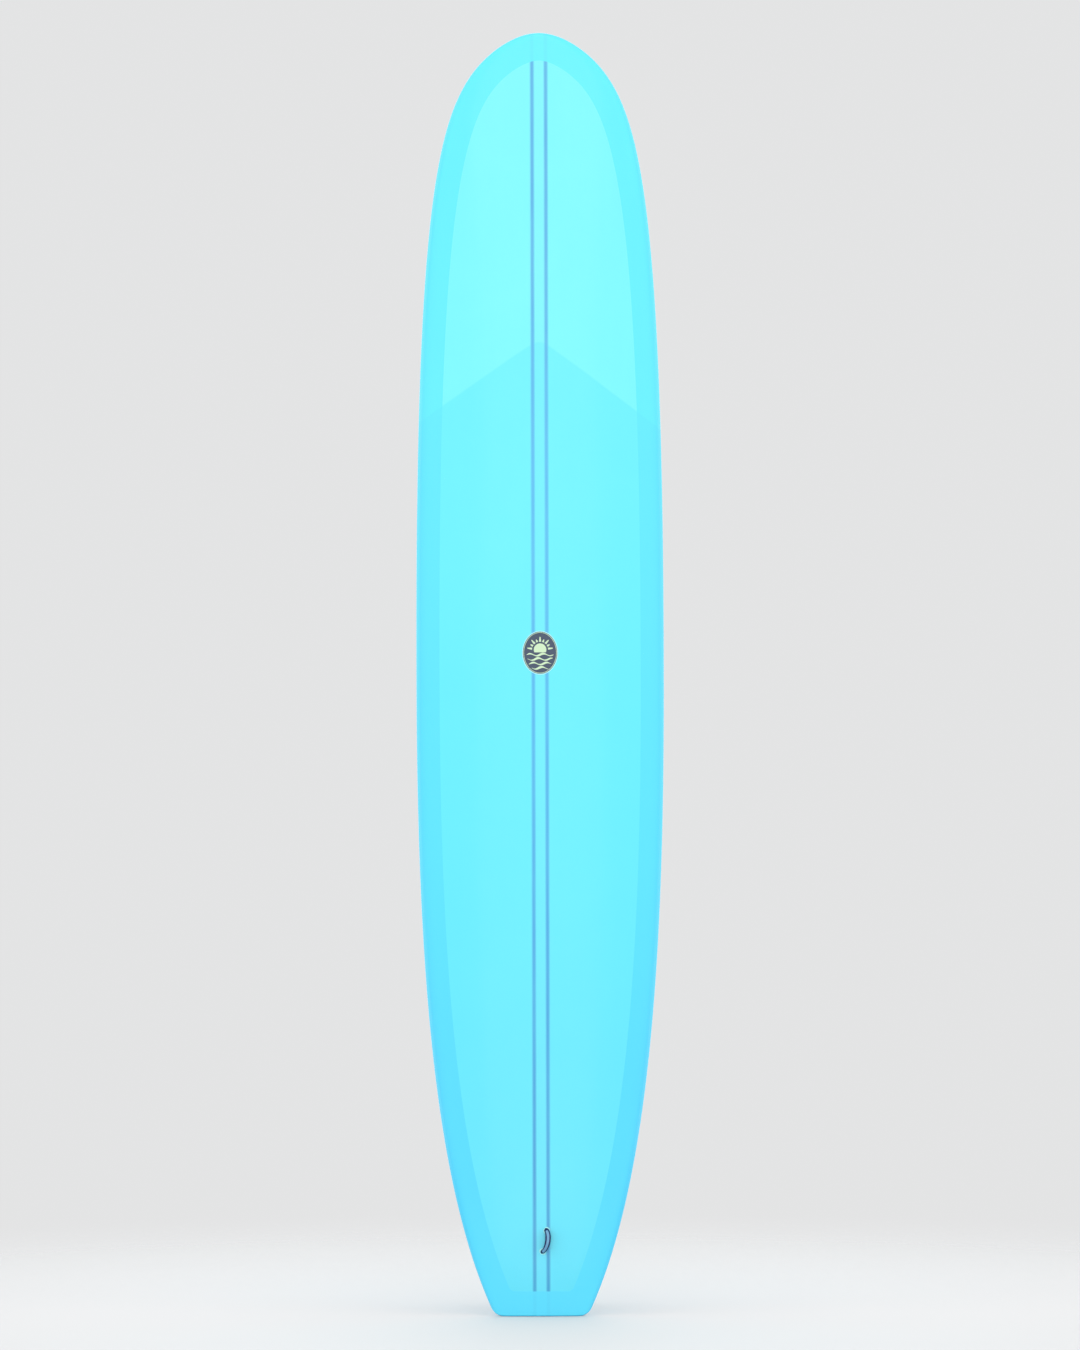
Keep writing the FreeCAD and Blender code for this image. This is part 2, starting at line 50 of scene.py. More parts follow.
# ---- the board's driving dimensions, the same as the CAD's ----
LENGTH = 2946.0
HALF_WIDTH = 285.75
WIDE_POINT = 1460.0
NOSE_CURVE = [
    (0.0, LENGTH),
    (131.5, LENGTH),
    (218.0, 2740.0),
    (286.2, 2917.0),
    (HALF_WIDTH, 1760.0),
    (HALF_WIDTH, WIDE_POINT),
]
TAIL_CURVE = [(HALF_WIDTH, WIDE_POINT), (HALF_WIDTH, 739.0), (237.8, 275.0), (107.0, 0.0)]
TAIL_CORNER_RADIUS = 32.0
THICKNESS, NOSE_THICKNESS, TAIL_THICKNESS = 76.0, 16.0, 24.0
NOSE_TAPER, TAIL_TAPER = 3.44, 3.33
LOW_POINT = 0.46 * LENGTH
NOSE_ROCKER, NOSE_ROCKER_POWER = 115.0, 2.3
TAIL_ROCKER, TAIL_ROCKER_POWER = 82.0, 2.1
APEX_SHARE, CROWN_SHARE = 0.44, 0.40
BOTTOM_RAIL_END, BOTTOM_RAIL_GAIN = 0.9, 1.1
DECK_RAIL_END, DECK_RAIL_GAIN = 1.0, 1.3
LAP_MIDDLE, LAP_NOSE, LAP_TAIL, LAP_POWER = 54.0, 64.0, 57.0, 5
LAP_CORNER_RADIUS = 16.0
PATCH_APEX, PATCH_SLOPE = 2238.0, 0.725
STRINGER_CENTRE = 15.7
BOX_CENTRE, BOX_LENGTH, BOX_WIDTH, BOX_BED = 247.0, 273.0, 26.7, 1.2
FIN_PATCH_LENGTH, FIN_PATCH_WIDTH = 400.0, 190.0
FIN_DEPTH, FIN_THICKNESS, FIN_TIP_THINNING = 250.0, 9.0, 0.62
EMBLEM_CENTRE, EMBLEM_WIDTH, EMBLEM_HEIGHT = 1524.0, 83.0, 101.0
SKIN = 1.0

# The fin box follows the bottom's slope, which is also the way the fin slides.
SLIDE = next(joint for joint in frame["joints"] if joint["name"] == "fin_slide")
BOX_SINE, BOX_COSINE = SLIDE["axis"][1:]

# Its opening in the bottom is a slot with round ends.
OPENING_RADIUS = BOX_WIDTH / 2 + BOX_BED
OPENING_RUN = (BOX_LENGTH / 2 + BOX_BED) * BOX_COSINE - OPENING_RADIUS

# ---- how finely the skin is laid out ----
STATION_SPACING = 9.2
CORNER_STATIONS = 14
TAIL_STATIONS = 14
FIELD_COLUMNS = 18
RAIL_COLUMNS = 24
WALL_ROUND_ROWS = 5
WALL_FLAT_ROWS = 3
EDGE_ROUNDING = 3.0
# from here on along the rail, the lap's stations drift so that they reach its own corner
DRIFT_FROM = 1.6
# past the first height the stations' lines fan out, so the last meets the middle at the second
NOSE_FAN, NOSE_FAN_END = 2480.0, 2836.0
TAIL_FAN, TAIL_FAN_END = 360.0, 112.0
# how far round the box's opening the skin is cut back, how far off its rim is looked for, and
# the steps in each round end
OPENING_MARGIN, OPENING_SEARCH, OPENING_STEPS = 9.0, 40.0, 20
# triangles smaller than this, in twice their area, are left out
SLIVER = 0.02
# how plainly the stringers show, through the lap and through the bottom
LAP_SHOW, BOTTOM_SHOW = 0.10, 0.55


# ---- the outline ----
def bezier(points, u):
    layer = [np.array(p, float) for p in points]
    u = np.asarray(u, float)[..., None]
    while len(layer) > 1:
        layer = [a + (b - a) * u for a, b in zip(layer, layer[1:])]
    return layer[0] + 0 * u


def rail(w):
    """Points (x, z) and outward normals of the right rail: w is 0 at the nose tip, 1 at the wide
    point and 2 past the corner of the tail."""
    w = np.asarray(w, float)
    points, slopes = [], []
    for curve, u in ((NOSE_CURVE, np.clip(w, 0, 1)), (TAIL_CURVE, np.clip(w - 1, 0, 1))):
        legs = [np.subtract(b, a) for a, b in zip(curve, curve[1:])]
        points.append(bezier(curve, u))
        slopes.append(bezier(legs, u))
    on_tail = (w > 1)[..., None]
    point = np.where(on_tail, points[1], points[0])
    slope = np.where(on_tail, slopes[1], slopes[0])
    slope = slope / np.linalg.norm(slope, axis=-1, keepdims=True)
    return point, np.stack([-slope[..., 1], slope[..., 0]], -1)


# many places along the rail, closer together by the nose tip
NOSE_STEPS, TAIL_STEPS, TIP_CROWDING = 3000, 2000, 1.5
NOSE_PLACES = (np.arange(NOSE_STEPS) / NOSE_STEPS) ** TIP_CROWDING
FINE = np.concatenate([NOSE_PLACES, 1 + np.arange(TAIL_STEPS + 1) / TAIL_STEPS])
FINE_POINTS, FINE_NORMALS = rail(FINE)
RAIL_Z = FINE_POINTS[::-1, 1]
RAIL_HALF = FINE_POINTS[::-1, 0]
RAIL_OUT = FINE_NORMALS[::-1, 0]


def lap_width(z):
    share = np.abs(z - LENGTH / 2) / (LENGTH / 2)
    end = np.where(z > LENGTH / 2, LAP_NOSE, LAP_TAIL)
    return LAP_MIDDLE + (end - LAP_MIDDLE) * share**LAP_POWER


def cut_line(w):
    point, normal = rail(w)
    return point - lap_width(point[..., 1:]) * normal


def rounded_corner(points, level, radius):
    """The centre of the arc that joins a rail to a level line, and where it leaves the rail."""
    height = level + radius
    tail = points[:, 1] < WIDE_POINT
    low, high = 0.0, np.interp(-height, -points[tail, 1], points[tail, 0])
    for _ in range(40):
        x = (low + high) / 2
        gap = np.hypot(points[tail, 0] - x, points[tail, 1] - height).min()
        low, high = (x, high) if gap > radius else (low, x)
    nearest = np.argmin(np.hypot(points[:, 0] - x, points[:, 1] - height))
    return np.array([x, height]), FINE[nearest]


def half_paths():
    """The right half of the outline and of the lap's cut line, station by station from the nose
    tip to the middle of the tail, with the outline's normals."""
    centre, leave = rounded_corner(FINE_POINTS, 0.0, TAIL_CORNER_RADIUS)
    lap_centre, lap_leave = rounded_corner(cut_line(FINE), LAP_TAIL, LAP_CORNER_RADIUS)
    run = FINE[FINE < leave]
    steps = np.linalg.norm(np.diff(rail(run)[0], axis=0), axis=1)
    travel = np.concatenate([[0], np.cumsum(steps)])
    count = int(travel[-1] / STATION_SPACING)
    w = np.interp(np.linspace(0, travel[-1], count), travel, run)
    drift = (lap_leave - DRIFT_FROM) / (leave - DRIFT_FROM)
    lap_w = np.where(w < DRIFT_FROM, w, DRIFT_FROM + (w - DRIFT_FROM) * drift)
    outline, normal = rail(w)
    cut = cut_line(lap_w)

    def bend(middle, start, radius):
        lean = math.atan2(*(start - middle)[::-1])
        turn = np.linspace(lean, -math.pi / 2, CORNER_STATIONS + 1)[1:]
        out = np.stack([np.cos(turn), np.sin(turn)], -1)
        return middle + radius * out, out

    corner, corner_normal = bend(centre, outline[-1], TAIL_CORNER_RADIUS)
    lap_corner, _ = bend(lap_centre, cut[-1], LAP_CORNER_RADIUS)
    share = np.linspace(1, 0, TAIL_STATIONS + 1)[1:, None]
    flat = np.hstack([corner[-1, 0] * share, 0 * share])
    lap_flat = np.hstack([lap_corner[-1, 0] * share, LAP_TAIL + 0 * share])
    flat_normal = np.tile([0.0, -1.0], (TAIL_STATIONS, 1))
    return (
        np.vstack([outline, corner, flat]),
        np.vstack([normal, corner_normal, flat_normal]),
        np.vstack([cut, lap_corner, lap_flat]),
        len(outline) - 1,
    )


# ---- the board's height at any place in plan ----
def surface(x, z):
    """Y of the deck and of the bottom."""
    middle = LENGTH / 2
    share = np.abs(z - middle) / middle
    full = np.where(
        z > middle,
        THICKNESS - (THICKNESS - NOSE_THICKNESS) * share**NOSE_TAPER,
        THICKNESS - (THICKNESS - TAIL_THICKNESS) * share**TAIL_TAPER,
    )
    ahead = np.clip((z - LOW_POINT) / (LENGTH - LOW_POINT), 0, 1)
    behind = np.clip((LOW_POINT - z) / LOW_POINT, 0, 1)
    lift = NOSE_ROCKER * ahead**NOSE_ROCKER_POWER + TAIL_ROCKER * behind**TAIL_ROCKER_POWER
    apex = TAIL_ROCKER + TAIL_THICKNESS / 2 - lift - APEX_SHARE * full
    half = np.maximum(np.interp(z, RAIL_Z, RAIL_HALF), 1e-6)
    out_x = np.interp(z, RAIL_Z, RAIL_OUT)
    inward = np.clip(1 - (x / half) ** 2, 0, 1)
    depth = half * out_x * inward / 2
    fullness = (full - NOSE_THICKNESS) / (THICKNESS - NOSE_THICKNESS)
    under = APEX_SHARE * full
    over = (1 - APEX_SHARE) * full
    crown = CROWN_SHARE * over
    under_roll = (BOTTOM_RAIL_END + BOTTOM_RAIL_GAIN * fullness) * under
    over_roll = (DECK_RAIL_END + DECK_RAIL_GAIN * fullness) * (over - crown)
    deck = apex - (over - crown + crown * inward) * np.sqrt(1 - np.exp(-2 * depth / over_roll))
    bottom = apex + under * np.sqrt(1 - np.exp(-2 * depth / under_roll))
    return deck, bottom


def lifted(plan, on_deck, proud=0.0):
    """Points (x, z) put on the deck or the bottom, as (x, y, z)."""
    deck, bottom = surface(plan[..., 0], plan[..., 1])
    y = deck - proud if on_deck else bottom + proud
    return np.stack([plan[..., 0], y, plan[..., 1]], -1)


# ---- meshes ----
class Mesh:
    """Grids of points that become one object. Each point also has a mark, a number for its
    material: on the skin, how plainly the stringers show through the glass there."""

    def __init__(self, mark="stringer_show"):
        self.bm = bmesh.new()
        self.mark = self.bm.verts.layers.float.new(mark)

    def point(self, place, mark=0.0):
        vert = self.bm.verts.new([float(c) * MM for c in place])
        vert[self.mark] = mark
        return vert

    def grid(self, points, marks=0.0, flip=False, tag=0):
        rows, columns = points.shape[:2]
        marks = np.broadcast_to(marks, (rows, columns))
        net = [[self.point(points[i, j], marks[i, j]) for j in range(columns)] for i in range(rows)]
        for i in range(rows - 1):
            for j in range(columns - 1):
                corners = [net[i][j], net[i + 1][j], net[i + 1][j + 1], net[i][j + 1]]
                face = self.bm.faces.new(corners[::-1] if flip else corners)
                face.smooth = True
                face.material_index = tag

    def both_sides(self, points, marks=0.0, flip=False, tag=0):
        self.grid(points, marks, flip, tag)
        self.grid(points * np.array([-1, 1, 1]), marks, not flip, tag)

    def shape(self, loops, spacing, proud):
        """A flat shape on the deck, bounded by loops of (x, z): the second on are holes."""
        corners = [Vector(p) for loop in loops for p in loop]
        edges, first = [], 0
        for loop in loops:
            n = len(loop)
            edges += [(first + i, first + (i + 1) % n) for i in range(n)]
            first += n

        def within(p):
            return inside_loop(p, loops[0]) and not any(inside_loop(p, h) for h in loops[1:])

        low, high = np.min(loops[0], 0), np.max(loops[0], 0)
        lattice = [
            Vector((x, z))
            for x in np.arange(low[0] + spacing / 2, high[0], spacing)
            for z in np.arange(low[1] + spacing / 2, high[1], spacing)
        ]
        corners += [p for p in lattice if within(p)]
        out, _, faces, _, _, _ = delaunay_2d_cdt(corners, edges, [], 0, 1e-5)
        places = lifted(np.array([tuple(p) for p in out]), True, proud)
        verts = [self.point(p) for p in places]
        for face in faces:
            if within(sum((out[i] for i in face), Vector((0, 0))) / len(face)):
                made = self.bm.faces.new([verts[i] for i in face])
                made.normal_update()
                if made.normal.y > 0:
                    made.normal_flip()
                made.smooth = True
        bmesh.ops.delete(self.bm, geom=[v for v in verts if not v.link_faces], context="VERTS")

    def weld(self, gap=0.002):
        bmesh.ops.remove_doubles(self.bm, verts=self.bm.verts, dist=gap * MM)
        bmesh.ops.dissolve_degenerate(self.bm, edges=self.bm.edges, dist=gap * MM)

    def piece(self, name, body, slot, materials, *replaced):
        for edge in self.bm.edges:
            edge.smooth = not edge.is_boundary
        data = bpy.data.meshes.new(name)
        self.bm.to_mesh(data)
        self.bm.free()
        made = bpy.data.objects.new(name, data)
        bpy.context.scene.collection.objects.link(made)
        for m in materials:
            data.materials.append(m)
        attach(made, body)
        if replaced:
            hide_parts(*replaced)
        return made


def thicken(piece, thickness):
    """Gives a sheet its thickness, inward."""
    shell = piece.modifiers.new("thickness", "SOLIDIFY")
    shell.thickness = thickness * MM
    shell.offset = -1
    shell.use_even_offset = False


# ---- materials ----
def linear(rgb):
    return [c / 12.92 if c <= 0.04045 else ((c + 0.055) / 1.055) ** 2.4 for c in rgb]


# what the scene's light multiplies a base colour by, and what the gloss adds to that
LIGHT = 1.2
GLOSS_LIFT = 0.042


def tone(red, green, blue):
    """The base colour that looks like this 8-bit colour in the scene's light."""
    lit = linear([red / 255, green / 255, blue / 255])
    return [max(0.0, min(1.0, (c - GLOSS_LIFT) / LIGHT)) for c in lit] + [1.0]


class Finish:
    """A procedural material, built node by node. Uniform values go straight on the shader."""

    def __init__(self, name, **uniform):
        self.material = bpy.data.materials.new(name)
        self.material.use_nodes = True
        self.tree = self.material.node_tree
        self.shader = self.tree.nodes["Principled BSDF"]
        for socket, value in uniform.items():
            self.shader.inputs[socket.replace("_", " ")].default_value = value
        self.place = self.node("ShaderNodeTexCoord").outputs["Object"]
        self.x, self.y, self.z = self.node("ShaderNodeSeparateXYZ", Vector=self.place).outputs

    def node(self, kind, settings=(), **inputs):
        made = self.tree.nodes.new(kind)
        for key, value in dict(settings).items():
            setattr(made, key, value)
        for key, value in inputs.items():
            self.feed(made.inputs[key], value)
        return made

    def feed(self, socket, value):
        if isinstance(value, bpy.types.NodeSocket):
            self.tree.links.new(value, socket)
        else:
            socket.default_value = value

    def math(self, operation, *values):
        made = self.node("ShaderNodeMath", {"operation": operation})
        for socket, value in zip(made.inputs, values):
            self.feed(socket, value)
        return made.outputs[0]

    def span(self, value, low, high, first=0.0, last=1.0, smooth=True):
        """value's place between low and high, as a number from first to last."""
        kind = {"interpolation_type": "SMOOTHSTEP" if smooth else "LINEAR"}
        made = self.node("ShaderNodeMapRange", kind, Value=value)
        ends = {"From Min": low, "From Max": high, "To Min": first, "To Max": last}
        for socket, number in ends.items():
            self.feed(made.inputs[socket], number)
        return made.outputs["Result"]

    def facing(self):
        """The Y part of the surface's own normal: -1 on the deck, 1 on the bottom."""
        normal = self.node("ShaderNodeTexCoord").outputs["Normal"]
        return self.node("ShaderNodeSeparateXYZ", Vector=normal).outputs[1]

    def noise(self, scale, detail=2.0, roughness=0.5, distortion=0.0, stretch=(1, 1, 1)):
        """Noise from 0 to 1, with its grain scaled per metre."""
        place = self.node("ShaderNodeMapping", Vector=self.place, Scale=stretch).outputs[0]
        made = self.node("ShaderNodeTexNoise", Vector=place, Scale=scale, Detail=detail)
        self.feed(made.inputs["Roughness"], roughness)
        self.feed(made.inputs["Distortion"], distortion)
        return made.outputs["Fac"]

    def mix(self, factor, a, b, blend="MIX"):
        made = self.node("ShaderNodeMix", {"data_type": "RGBA", "blend_type": blend})
        for socket, value in zip([made.inputs[i] for i in (0, 6, 7)], (factor, a, b)):
            self.feed(socket, value)
        return made.outputs[2]

    def ramp(self, value, stops):
        made = self.node("ShaderNodeValToRGB", Fac=value)
        elements = made.color_ramp.elements
        while len(elements) < len(stops):
            elements.new(0.5)
        for element, (place, colour) in zip(elements, stops):
            element.position = place
            element.color = colour
        return made.outputs["Color"]

    def curve(self, value, points):
        """A smooth curve through points, both ways from 0 to 1."""
        made = self.node("ShaderNodeFloatCurve", Value=value)
        line = made.mapping.curves[0].points
        for place, height in points[1:-1]:
            line.new(place, height)
        line[0].location, line[-1].location = points[0], points[-1]
        made.mapping.update()
        return made.outputs[0]

    def bump(self, height, distance, strength=1.0):
        made = self.node("ShaderNodeBump", Height=height, Distance=distance, Strength=strength)
        if self.shader.inputs["Normal"].is_linked:
            self.feed(made.inputs["Normal"], self.shader.inputs["Normal"].links[0].from_socket)
        self.feed(self.shader.inputs["Normal"], made.outputs[0])

    def done(self, colour, roughness):
        self.feed(self.shader.inputs["Base Color"], colour)
        self.feed(self.shader.inputs["Roughness"], roughness)
        return self.material


# The patch's front edge is cut by hand, a little steeper on the right, with a rounded tip.
PATCH_SKEW = 0.028
PATCH_TIP, PATCH_TIP_ROUNDING, PATCH_SOFTNESS = 10.0, 0.0002, 4.0

# Multiplied into the tint: round the rails, and over the fin's patch.
RAIL_TINT = (0.80, 0.90, 0.96, 1)
FIN_PATCH_TINT = (0.69, 0.83, 0.91, 1)

# Tones along the board, as shares of its length from the tail.
DECK_TONES = [(0.76, tone(129, 249, 255)), (1.0, tone(131, 249, 255))]
PATCH_TONES = [
    (0.0, tone(114, 240, 264)),
    (0.1, tone(111, 238, 260)),
    (0.2, tone(108, 236, 256)),
    (0.35, tone(108, 238, 255)),
    (0.5, tone(110, 240, 255)),
    (0.6, tone(114, 242, 255)),
    (0.76, tone(117, 243, 255)),
]
LAP_TONES = [
    (0.0, tone(107, 238, 270)),
    (0.1, tone(96, 228, 262)),
    (0.2, tone(95, 226, 257)),
    (0.35, tone(98, 230, 256)),
    (0.5, tone(102, 232, 255)),
    (0.68, tone(107, 236, 255)),
    (0.76, tone(109, 241, 255)),
    (1.0, tone(109, 244, 255)),
]
LAP_AHEAD_TONES = [(0.76, tone(109, 241, 255)), (1.0, tone(109, 244, 255))]
STRINGER_TONES = [
    (0.0, tone(85, 172, 222)),
    (0.2, tone(79, 168, 225)),
    (0.5, tone(91, 184, 237)),
    (0.66, tone(97, 188, 240)),
    (0.8, tone(97, 180, 231)),
    (1.0, tone(99, 180, 230)),
]


def in_patch(f, wander):
    """1 behind the deck patch's V-shaped front edge, 0 ahead of it."""
    side = f.math("SQRT", f.math("ADD", f.math("MULTIPLY", f.x, f.x), PATCH_TIP_ROUNDING))
    edge = f.math("ADD", f.z, f.math("MULTIPLY", side, PATCH_SLOPE))
    edge = f.math("ADD", edge, f.math("MULTIPLY", f.x, PATCH_SKEW))
    edge = f.math("ADD", edge, wander)
    front = PATCH_APEX + PATCH_TIP
    return f.span(edge, (front - PATCH_SOFTNESS) * MM, (front + PATCH_SOFTNESS) * MM, 1.0, 0.0)


def in_oval(f, half_width, half_length):
    """1 inside an oval round the fin box, 0 outside it."""
    across = f.math("POWER", f.math("DIVIDE", f.x, half_width * MM), 2.0)
    up = f.math("SUBTRACT", f.z, BOX_CENTRE * MM)
    up = f.math("POWER", f.math("DIVIDE", up, half_length * MM), 2.0)
    return f.span(f.math("SQRT", f.math("ADD", across, up)), 0.985, 1.015, 1.0, 0.0)


def with_stringers(f, colour, along, wander):
    """The stringers seen through the glass, and the slightly bluer strip between them."""
    show = f.node("ShaderNodeAttribute", {"attribute_name": "stringer_show"}).outputs["Fac"]
    across = f.math("ABSOLUTE", f.x)
    reach = f.math("ABSOLUTE", f.math("SUBTRACT", across, STRINGER_CENTRE * MM))
    reach = f.math("ADD", reach, f.math("MULTIPLY", wander, 0.12))
    grain = f.noise(60.0, 3.0, 0.6, stretch=(1.0, 1.0, 0.06))
    strip = f.math("MULTIPLY", f.span(reach, 0.0010, 0.0068, 1.0, 0.0), show)
    strip = f.math("MULTIPLY", strip, f.span(grain, 0.3, 0.7, 0.86, 1.0))
    between = f.math("MULTIPLY", f.span(across, 0.014, 0.026, 0.12, 0.0), show)
    colour = f.mix(between, colour, tone(144, 226, 255))
    return f.mix(strip, colour, f.ramp(along, STRINGER_TONES))


def mottled(f, colour):
    """The tint's unevenness: broad pools, long squeegee streaks and pin-sized bubbles."""
    pools = f.noise(5.0, 4.0, 0.55, 0.6)
    streaks = f.noise(38.0, 3.0, 0.5, stretch=(1.0, 1.0, 0.05))
    mottle = f.math("ADD", f.math("MULTIPLY", pools, 0.7), f.math("MULTIPLY", streaks, 0.3))
    colour = f.mix(f.span(mottle, 0.3, 0.7, 0.0, 0.05), colour, tone(84, 214, 250))
    cells = f.node("ShaderNodeTexVoronoi", Vector=f.place, Scale=46.0, Randomness=1.0)
    rank = f.node("ShaderNodeSeparateColor", Color=cells.outputs["Color"]).outputs[0]
    near = f.span(cells.outputs["Distance"], 0.018, 0.035, 1.0, 0.0)
    bubble = f.math("MULTIPLY", f.span(rank, 0.93, 0.94), near)
    return f.mix(f.math("MULTIPLY", bubble, 0.35), colour, tone(200, 252, 255))


def glossed_cloth(f):
    """Bumps for the cloth and the uneven gloss coat over it, and the roughness they give."""
    weave = f.node("ShaderNodeTexWave", {"bands_direction": "X"}, Vector=f.place, Scale=160.0)
    cross = f.node("ShaderNodeTexWave", {"bands_direction": "Z"}, Vector=f.place, Scale=160.0)
    cloth = f.math("MULTIPLY", weave.outputs["Fac"], cross.outputs["Fac"])
    f.bump(cloth, 0.00001, 0.5)
    f.bump(f.noise(26.0, 2.0, 0.5), 0.0006, 0.22)
    rub = f.noise(14.0, 5.0, 0.6, 0.4)
    return f.math("ADD", f.span(rub, 0.25, 0.75, 0.13, 0.24), f.math("MULTIPLY", cloth, 0.03))


def tinted_glass(name, tones, patch_tones=None, oval=None):
    """Resin-tinted glass over foam: the tone runs along the board, with the stringers seen
    through it, softly mottled, under a gloss coat with a faint orange peel."""
    f = Finish(name, Coat_Weight=0.35, Coat_Roughness=0.06, IOR=1.5, Specular_IOR_Level=0.4)
    along = f.span(f.z, 0.0, LENGTH * MM, smooth=False)
    wander = f.math("MULTIPLY", f.math("SUBTRACT", f.noise(9.0, 3.0), 0.5), 0.0035)
    colour = f.ramp(along, tones)
    if patch_tones:
        colour = f.mix(in_patch(f, wander), colour, f.ramp(along, patch_tones))
    if oval:
        deeper = f.mix(1.0, colour, FIN_PATCH_TINT, "MULTIPLY")
        colour = f.mix(in_oval(f, *oval), colour, deeper)
    # deeper round the rails, where the tint runs thicker
    round_rail = f.span(f.math("ABSOLUTE", f.facing()), 0.985, 0.80)
    colour = f.mix(round_rail, colour, f.mix(1.0, colour, RAIL_TINT, "MULTIPLY"))
    colour = mottled(f, with_stringers(f, colour, along, wander))
    return f.done(colour, glossed_cloth(f))


# ---- the skin ----
def add_wall(mesh, outline, normal, first, rounding):
    """The flat end of the tail and its corners, with small rounded edges."""
    deck, bottom = (a[first:] for a in surface(outline[:, 0], outline[:, 1]))
    edge, out, r = outline[first:], normal[first:], rounding[first:, None]
    rows = []
    inset_deck, inset_bottom = surface(*(edge - out * r).T)
    for k in range(WALL_ROUND_ROWS + 1):
        turn = math.pi / 2 * k / WALL_ROUND_ROWS
        plan = edge - out * r * (1 - math.sin(turn))
        y = inset_deck + (1 - math.cos(turn)) * (deck + r[:, 0] - inset_deck)
        rows.append(np.stack([plan[:, 0], y, plan[:, 1]], -1))
    top, low = deck + r[:, 0], bottom - r[:, 0]
    for k in range(1, WALL_FLAT_ROWS):
        y = top + (low - top) * k / WALL_FLAT_ROWS
        rows.append(np.stack([edge[:, 0], y, edge[:, 1]], -1))
    for k in range(WALL_ROUND_ROWS, -1, -1):
        turn = math.pi / 2 * k / WALL_ROUND_ROWS
        plan = edge - out * r * (1 - math.sin(turn))
        y = inset_bottom + (1 - math.cos(turn)) * (low - inset_bottom)
        rows.append(np.stack([plan[:, 0], y, plan[:, 1]], -1))
    mesh.both_sides(np.stack(rows, 1), LAP_SHOW)


def in_box(x, z, extra=0.0):
    """True within the fin box's opening, grown by extra."""
    return math.hypot(x, max(abs(z - BOX_CENTRE) - OPENING_RUN, 0.0)) < OPENING_RADIUS + extra


def opening_outline():
    points = []
    for middle, start in ((OPENING_RUN, 0.0), (-OPENING_RUN, math.pi)):
        for k in range(OPENING_STEPS + 1):
            turn = start + math.pi * k / OPENING_STEPS
            x = OPENING_RADIUS * math.cos(turn)
            points.append((x, BOX_CENTRE + middle + OPENING_RADIUS * math.sin(turn)))
    return points


def inside_loop(point, loop):
    x, z = point
    within = False
    for (ax, az), (bx, bz) in zip(loop, loop[1:] + loop[:1]):
        if (az > z) != (bz > z) and x < ax + (bx - ax) * (z - az) / (bz - az):
            within = not within
    return within


def rim_loop(bm, tag):
    """The corners, in order, of the hole that was cut round the fin box."""
    rim = {}
    for edge in bm.edges:
        middle = (edge.verts[0].co + edge.verts[1].co) / 2 / MM
        at_box = edge.is_boundary and in_box(middle.x, middle.z, OPENING_SEARCH)
        if at_box and edge.link_faces[0].material_index == tag:
            for a, b in (edge.verts, reversed(edge.verts)):
                rim.setdefault(a, []).append(b)
    loop, last = [next(iter(rim))], None
    while True:
        step = [v for v in rim[loop[-1]] if v is not last]
        last = loop[-1]
        if step[0] is loop[0]:
            return loop
        loop.append(step[0])


def cut_opening(mesh, mark, tag):
    """Cuts the fin box's opening into the bottom and fills up to its edge."""
    bm = mesh.bm

    def near(v):
        return in_box(v.co.x / MM, v.co.z / MM, OPENING_MARGIN)

    cut = [f for f in bm.faces if f.material_index == tag and any(near(v) for v in f.verts)]
    bmesh.ops.delete(bm, geom=cut, context="FACES")
    loop = rim_loop(bm, tag)
    outer = [(v.co.x / MM, v.co.z / MM) for v in loop]
    ring = opening_outline()
    known = loop + [mesh.point(p, mark) for p in lifted(np.array(ring), False)]
    places = [Vector(p) for p in outer + ring]
    n, m = len(outer), len(ring)
    edges = [(i, (i + 1) % n) for i in range(n)] + [(n + i, n + (i + 1) % m) for i in range(m)]
    out, _, faces, origin, _, _ = delaunay_2d_cdt(places, edges, [], 0, 1e-4)
    for face in faces:
        first, second, third = (out[i] for i in face)
        middle = (first + second + third) / 3
        sliver = abs((second - first).cross(third - first)) < SLIVER
        if not sliver and inside_loop(middle, outer) and not in_box(*middle):
            made = bm.faces.new([known[origin[i][0]] for i in face])
            made.normal_update()
            if made.normal.y < 0:
                made.normal_flip()
            made.smooth = True
            made.material_index = tag


